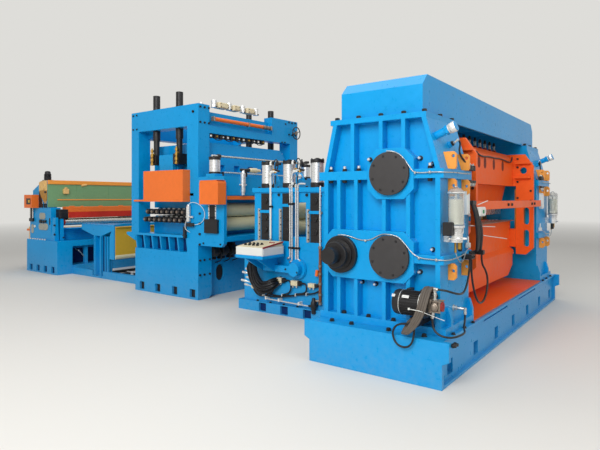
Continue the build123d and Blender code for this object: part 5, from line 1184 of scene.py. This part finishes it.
def near_column_detail():
    """Air unit with its thin tube loop on the near column, painted shade for the small slot, and the post beside it.
    """
    metal = Piece("column_air_unit", ALLOY)
    metal.turned((-3968, -1066, 1224), UP, [(0, 24), (8, 32), (70, 34), (74, 26), (86, 26), (90, 37), (240, 37),
        (248, 28), (272, 22)], 24)
    metal.block((-4010, -1092, 1290), (-3926, -1031, 1318), 5)
    metal.block((-3990, -1060, 1400), (-3946, -1031, 1424), 4)
    metal.turned((-3900, -1060, 1300), EAST, [(-30, 12), (-6, 12), (0, 18), (26, 18), (32, 10)], 10)
    dark = Piece("column_air_valves", BLACK)
    dark.block((-4006, -1090, 1150), (-3870, -1031, 1206), 6)
    dark.turned((-3932, -1078, 1178), EAST, [(40, 20), (60, 24), (94, 24), (100, 16)], 14)
    # Painted shade: a dark oval on the column's face for the inside of the small slot
    dark.slab(oval(-3931, 1657, 80, 30), "y", -1034, -1029, 1)
    lines("column_air_tubes", WHITE, 4.5, [[(-3960, -1074, 1492), (-3900, -1076, 1540), (-3760, -1062, 1520),
        (-3640, -1050, 1436), (-3612, -1044, 1340), (-3650, -1046, 1240), (-3760, -1052, 1186), (-3850, -1070, 1180)],
        [(-4000, -1070, 1280), (-4030, -1080, 1200), (-4020, -1090, 1120), (-3980, -1080, 1080),
         (-3960, -1040, 1060)]])
    post = Piece("column_post", BLACK)
    post.block((-4086, -1080, 962), (-4040, -1034, 1146), 4)
    post.block((-4100, -1084, 1000), (-4030, -1034, 1012), 2)


near_column_detail()


def paint_deep_shade():
    """Painted shade: dark sheets in the pockets and slots and behind the gussets, where they lie in deep shade."""
    backs = Piece("gusset_painted_shade", SHADE_BLUE)
    for face, side in SCREW_BEAM_FACES:
        backs.block((-5385, face, 738), (-4046, face + side * 2, 958), 0)
    shade_sheets = Piece("pocket_painted_shade", BLACK)
    paint_pocket_shade(shade_sheets, (-5202, -4774, -4346, -3918), LEVELLER_FACES, 58, 31, 159)
    shade_sheets.slab([(-452 + 74 * y, 368 + 122 * z) for y, z in ring_of((0, 0), 1, 32)], "x", -3912, -3908)


paint_deep_shade()


def end_unit_faces():
    """Gauges, posts, bolts and covers on both faces of the end unit, and painted shade for a slot and a gap by the
    cone.
    """
    plates = Piece("end_gauges", GAUGE)
    dark = Piece("end_dark_parts", BLACK)
    steel = Piece("end_posts", STEEL)
    white = Piece("end_ovals", WHITE)
    tan = Piece("end_tan_covers", TAN)
    funnel = Piece("end_funnels", DARK_TAN)
    bright = Piece("end_ledge_bolts", ALLOY)

    def rounded(x_low, x_high, z_low, z_high, cut):
        return [(x_low + cut, z_low), (x_high - cut, z_low), (x_high, z_low + cut), (x_high, z_high - cut),
                (x_high - cut, z_high), (x_low + cut, z_high), (x_low, z_high - cut), (x_low, z_low + cut)]

    for face, side in END_FACES:
        out = (0, side, 0)

        def plate(piece, outline, first, last, cut):
            piece.slab(outline, "y", face + side * first, face + side * last, cut)

        def box(x_low, x_high, z_low, z_high, reach, cut):
            dark.block((x_low, face - side * 2, z_low), (x_high, face + side * reach, z_high), cut)

        def post(piece, x, reach, low, high, radius, sides):
            piece.rod((x, face + side * reach, low), (x, face + side * reach, high), radius, sides)

        plate(plates, rounded(-8882, -8650, 1140, 1281, 34), -2, 16, 3)
        plate(plates, rounded(-8912, -8536, 913, 1053, 40), -2, 16, 3)
        plate(plates, oval(-8766, 1210, 96, 104), 14, 20, 2)
        plate(plates, oval(-8724, 984, 104, 106), 14, 20, 2)
        plate(plates, oval(-9198, 926, 96, 204), -2, 12, 3)
        # Painted shade: a dark plate in the shaded gap between the box and the cone, and a dark oval for the slot
        plate(dark, [(-8926, 1392), (-8770, 1392), (-8770, 1500), (-8820, 1620), (-8850, 1750), (-8926, 1735)], -2, 6,
              1)
        plate(dark, oval(-8470, 1100, 44, 150), -2, 4, 1)
        plate(tan, [(-8859, 1751), (-8569, 1762), (-8573, 1975), (-8700, 1975), (-8770, 1960), (-8855, 1938)], -2, 40,
              6)
        plate(funnel, [(-8855, 1751), (-8760, 1610), (-8650, 1500), (-8600, 1490), (-8573, 1560), (-8573, 1762)], -2,
              34, 5)
        box(-8880, -8800, 1062, 1132, 30, 6)
        box(-8760, -8680, 1066, 1122, 30, 6)
        box(-8656, -8600, 1072, 1128, 30, 6)
        box(-9290, -9128, 1087, 1158, 44, 8)
        white.turned((-9092, face, 980), out, [(0, 26), (8, 30), (16, 28), (24, 14), (24, 0)], 24)
        for x in (-9262, -9160):
            post(steel, x, 18, 1150, 1388, 16, 14)
        post(dark, -9211, 20, 1158, 1388, 24, 16)
        for x in (-8740, -8660, -8590):
            post(dark, x, 14, 1392, 1480, 14, 12)
            post(steel, x, 14, 1478, 1530, 9, 10)
        tan.turned((-8665, face + side * 40, 1856), out,
                   [(0, 88), (8, 90), (14, 86), (16, 60), (12, 56), (12, 0)], 44)
        dark.turned((-8590, face + side * 20, 1726), out, [(0, 22), (20, 26), (30, 20), (30, 0)], 18)
        for k in range(7):
            bright.turned((-9230 + 102 * k, face + side * 27, 700), UP,
                          [(0, 21), (4, 22), (22, 20), (26, 14), (26, 0)], 12)
        # Motor that stands on the crest
        middle = face - side * 80
        dark.block((-8800, middle - 76, 1968), (-8610, middle + 76, 1990), 6)
        dark.turned((-8712, middle, 1988), UP, [(0, 66), (10, 76), (14, 76), (16, 68), (24, 68), (26, 72), (60, 72),
            (64, 68), (130, 66), (140, 60), (176, 56), (190, 40), (194, 18)], 36)
        for k in range(8):
            dark.turned((-8712, middle, 2014 + 13 * k), UP, [(0, 67), (2, 75), (5, 75), (7, 67)], 36)
    Piece("panel_window", BLACK).block((-9170, -1108, 1462), (-8996, -1098, 1592), 4)
    Piece("panel_window_light", YELLOW).block((-9080, -1112, 1500), (-9010, -1106, 1560), 3)


end_unit_faces()


def end_unit_exit_side():
    """Brush under its orange block, end boxes, red roll ends, guard panel with its rail, and bracket bolts."""
    brush = Piece("end_brush", BRISTLE)
    brush.block((-8274, -640, 1172), (-8258, 1160, 1300), 3)
    brush.block((-8412, -640, 1172), (-8268, 1160, 1192), 3)
    Piece("end_brush_row", YELLOW).block((-8300, -690, 1168), (-8262, 1210, 1176), 2)
    cap = Piece("end_brush_cover", ORANGE)
    cap.block((-8424, -700, 1348), (-8262, 1220, 1412), 6)
    cap.block((-8276, -700, 1300), (-8260, 1220, 1350), 4)
    for y, width in ((-560, 60), (-330, 26), (120, 44), (640, 60), (980, 30)):
        cap.block((-8300, y - width, 1410), (-8268, y + width, 1430), 5)
    boxes = Piece("end_brush_boxes", BLACK)
    for low, high in ((-842, -656), (1176, 1362)):
        boxes.block((-8426, low, 1160), (-8256, high, 1358), 8)
        boxes.block((-8258, low + 24, 1180), (-8250, high - 24, 1300), 3)
    for y, z, width in (
            (-954, 833, 34), (-954, 1027, 34), (1474, 833, 34), (1474, 1027, 34), (-760, 760, 26), (-760, 1176, 26),
            (1280, 760, 26), (1280, 1176, 26)):
        boxes.nut((-8270, y, z), EAST, width)
    red = Piece("end_roll_ends", RED, "end_roller")
    for y, out in ((-738, 1), (1258, -1)):
        red.turned((-8345, y, 1085), (0, out, 0), [(0, 76), (26, 77), (30, 74), (30, 70)], 36)
    panel = Piece("guard_panel", GREEN_PANEL)
    panel.block((-8573, -948, 1400), (-8562, 1468, 1900), 3)
    panel.block((-8564, -300, 1580), (-8558, -292, 1890), 1)
    panel.block((-8564, 500, 1580), (-8558, 508, 1890), 1)
    rail = Piece("guard_rail", LUG_ORANGE)
    rail.block((-8573, -948, 1896), (-8540, 1468, 1982), 6)
    rail.block((-8573, -736, 1550), (-8550, 1256, 1572), 4)
    lamp = Piece("guard_box", TAN)
    lamp.block((-8560, -620, 1690), (-8500, -500, 1800), 8)
    lamp.turned((-8530, -560, 1800), UP, [(0, 30), (6, 34), (20, 34), (30, 18)], 20)
    lamp.rod((-8556, -190, 1878), (-8556, -60, 1900), 26, 18)
    strut = Piece("recess_struts", BLUE)
    for y in (-305, 825):
        strut.block((-8230, y - 34, 176), (-8150, y + 34, 580), 4)
    strut.block((-8460, -669, 500), (-8420, 1189, 556), 3)
    stay = Piece("recess_stays", STEEL)
    for y, foot in ((-454, -326), (974, 850)):
        stay.rod((-8200, y, 463), (-8200, foot, 320), 13, 12)
        stay.rod((-8440, y, 503), (-8190, y, 463), 16, 12)
    # Painted shade: dark sheets at the back of the base's pockets and of the recess in the base
    paint_pocket_shade(Piece("end_pocket_shade", SHADE_BLUE), [-9178.5 + 309 * k for k in range(4)], END_BASE_FACES, 64, 31,
                 159)
    Piece("end_recess_shade", SHADE_BLUE).block((-8489, -669, 176), (-8484, 1189, 579), 0)
    top = Piece("shelf_top", TAN)
    top.block((-9682, -846, 900), (-9324, 1366, 908), 2)
    top.block((-9660, -820, 907), (-9500, -700, 950), 6)
    legs = Piece("shelf_legs", TAN, slot="bronze")
    for low, high in ((-854, -786), (1306, 1374)):
        legs.block((-9564, low, 541), (-9496, high, 858), 3)


end_unit_exit_side()


def bridge_side_panels():
    """Ribbed side panels between the bridge posts and the uprights of the table, with painted shade between the ribs.
    """
    panels = Piece("bridge_side_panels", BLUE)
    shades = Piece("bridge_side_shades", SHADE_BLUE)
    for piece, x_low, x_high, first, last, low, high, cut in (
            (panels, -6994, -6770, 40, 60, 136, 836, 2), (panels, -6800, -6770, 0, 90, 136, 838, 3),
            (panels, -6900, -6876, 10, 60, 136, 836, 3), (shades, -6986, -6906, 38, 41, 140, 830, 0),
            (shades, -6870, -6806, 38, 41, 140, 830, 0)):
        for face, out in BRIDGE_FACES:
            piece.block((x_low, face - out * first, low), (x_high, face - out * last, high), cut)


bridge_side_panels()


def bridge_detail():
    """Tray between the bridge posts, roller edge, floor frame, bolts, and the posts' flanges."""
    tray = Piece("bridge_tray", YELLOW)
    tray.block((-6586, -650, 446), (-6560, 1170, 1026), 3)
    tray.block((-6584, -650, 1020), (-6520, 1170, 1036), 3)
    roller = Piece("bridge_roller", CREAM)
    roller.turned((-6588, -648, 446), FAR, [(0, 40), (4, 46), (1812, 46), (1816, 40)], 28)
    frame_parts = Piece("bridge_floor_frame", BLACK)
    frame_parts.block((-7940, -560, 0), (-5560, -500, 60), 4)
    frame_parts.block((-7940, 1020, 0), (-5560, 1080, 60), 4)
    for x in (-7400, -6800, -6200, -5700):
        frame_parts.block((x - 30, -560, 4), (x + 30, 1080, 54), 4)
    frame_parts.turned((-6500, -420, 60), UP, [(0, 90), (10, 96), (60, 96), (70, 70), (70, 0)], 28)
    for x in (-6300, -6050, -5800):
        frame_parts.turned((x, -300, 100), FAR, [(0, 46), (8, 52), (280, 52), (290, 40)], 20)
    for x in (-7200, -7040):
        for y in (-646, 1166):
            frame_parts.nut((x, y, 25), UP, 30)
    metal = Piece("bridge_fittings", ALLOY)
    for x in (-6350, -6150):
        metal.turned((x, -420, 60), UP, [(0, 26), (6, 34), (50, 34), (56, 24), (80, 24), (86, 14)], 18)
    metal.rod((-6500, -420, 150), (-6150, -420, 150), 14, 12)
    flanges = Piece("bridge_post_flanges", BLUE)
    for face, out in BRIDGE_FACES:
        for x_low, x_high, z_low, z_high in ((-7690, -6652, 1052, 1066), (-7250, -7236, 16, 830),
                (-7004, -6990, 16, 830)):
            flanges.slab([(x_low, z_low), (x_high, z_low), (x_high, z_high), (x_low, z_high)], "y", face,
                         face + out * 8, 2)


bridge_detail()


def shade_mix(tree, factor, first, second, target):
    """Mix of two shaders, into the output of a material or world."""
    mix = feed(tree, node(tree, "ShaderNodeMixShader"), {0: factor, 1: first.outputs[0], 2: second.outputs[0]})
    feed(tree, tree.nodes[target], {"Surface": mix.outputs[0]})


def make_stage():
    """Pale floor that fades into a pale background, and plain soft light."""
    pale = linear(222, 221, 217)
    floor_mesh = bmesh.new()
    bmesh.ops.create_grid(floor_mesh, x_segments=1, y_segments=1, size=60.0)
    data = bpy.data.meshes.new("floor")
    floor_mesh.to_mesh(data)
    floor_mesh.free()
    floor = bpy.data.objects.new("floor", data)
    bpy.context.scene.collection.objects.link(floor)
    finish = bpy.data.materials.new("floor")
    finish.use_nodes = True
    tree = finish.node_tree
    shader = feed(tree, tree.nodes["Principled BSDF"], {
        "Base Color": linear(222, 219, 212), "Roughness": 0.75, "Specular IOR Level": 0.2})
    reach = node(tree, "ShaderNodeVectorMath", operation="LENGTH")
    feed(tree, reach, {0: node(tree, "ShaderNodeNewGeometry").outputs["Position"]})
    far = span(tree, reach.outputs["Value"], 13.0, 34.0, 0.0, 1.0)
    path = node(tree, "ShaderNodeLightPath").outputs
    seen = joined(tree, "MAXIMUM", path["Is Camera Ray"], path["Is Glossy Ray"])
    glow = node(tree, "ShaderNodeEmission", Color=pale, Strength=1.0)
    shade_mix(tree, joined(tree, "MULTIPLY", far, seen), shader, glow, "Material Output")
    data.materials.append(finish)
    world = bpy.data.worlds.new("studio")
    world.use_nodes = True
    bpy.context.scene.world = world
    tree = world.node_tree
    light = feed(tree, tree.nodes["Background"], {"Color": (0.95, 0.97, 1.0, 1), "Strength": 0.42})
    shown = node(tree, "ShaderNodeBackground", Color=pale, Strength=1.0)
    path = node(tree, "ShaderNodeLightPath").outputs
    seen = joined(tree, "MAXIMUM", path["Is Camera Ray"], path["Is Glossy Ray"])
    shade_mix(tree, joined(tree, "MAXIMUM", seen, path["Is Transmission Ray"]), light, shown, "World Output")
    for name, place, target, width, power in (
            ("key_light", (1.0, -11.0, 7.0), (-1.0, 0, 1.2), 6.0, 1000),
            ("side_light", (8.5, -3.0, 6.0), (0, 0, 1.0), 5.0, 190),
            ("top_light", (-4.0, 1.0, 9.0), (-4.0, 0.3, 0), 9.0, 300)):
        data = bpy.data.lights.new(name, "AREA")
        data.shape = "SQUARE"
        data.size = width
        data.energy = power
        lamp = bpy.data.objects.new(name, data)
        lamp.location = place
        lamp.rotation_euler = (Vector(target) - Vector(place)).to_track_quat("-Z", "Y").to_euler()
        bpy.context.scene.collection.objects.link(lamp)


for piece in list(Piece.waiting):
    piece.done()
make_stage()
bpy.context.scene.view_settings.view_transform = "Standard"
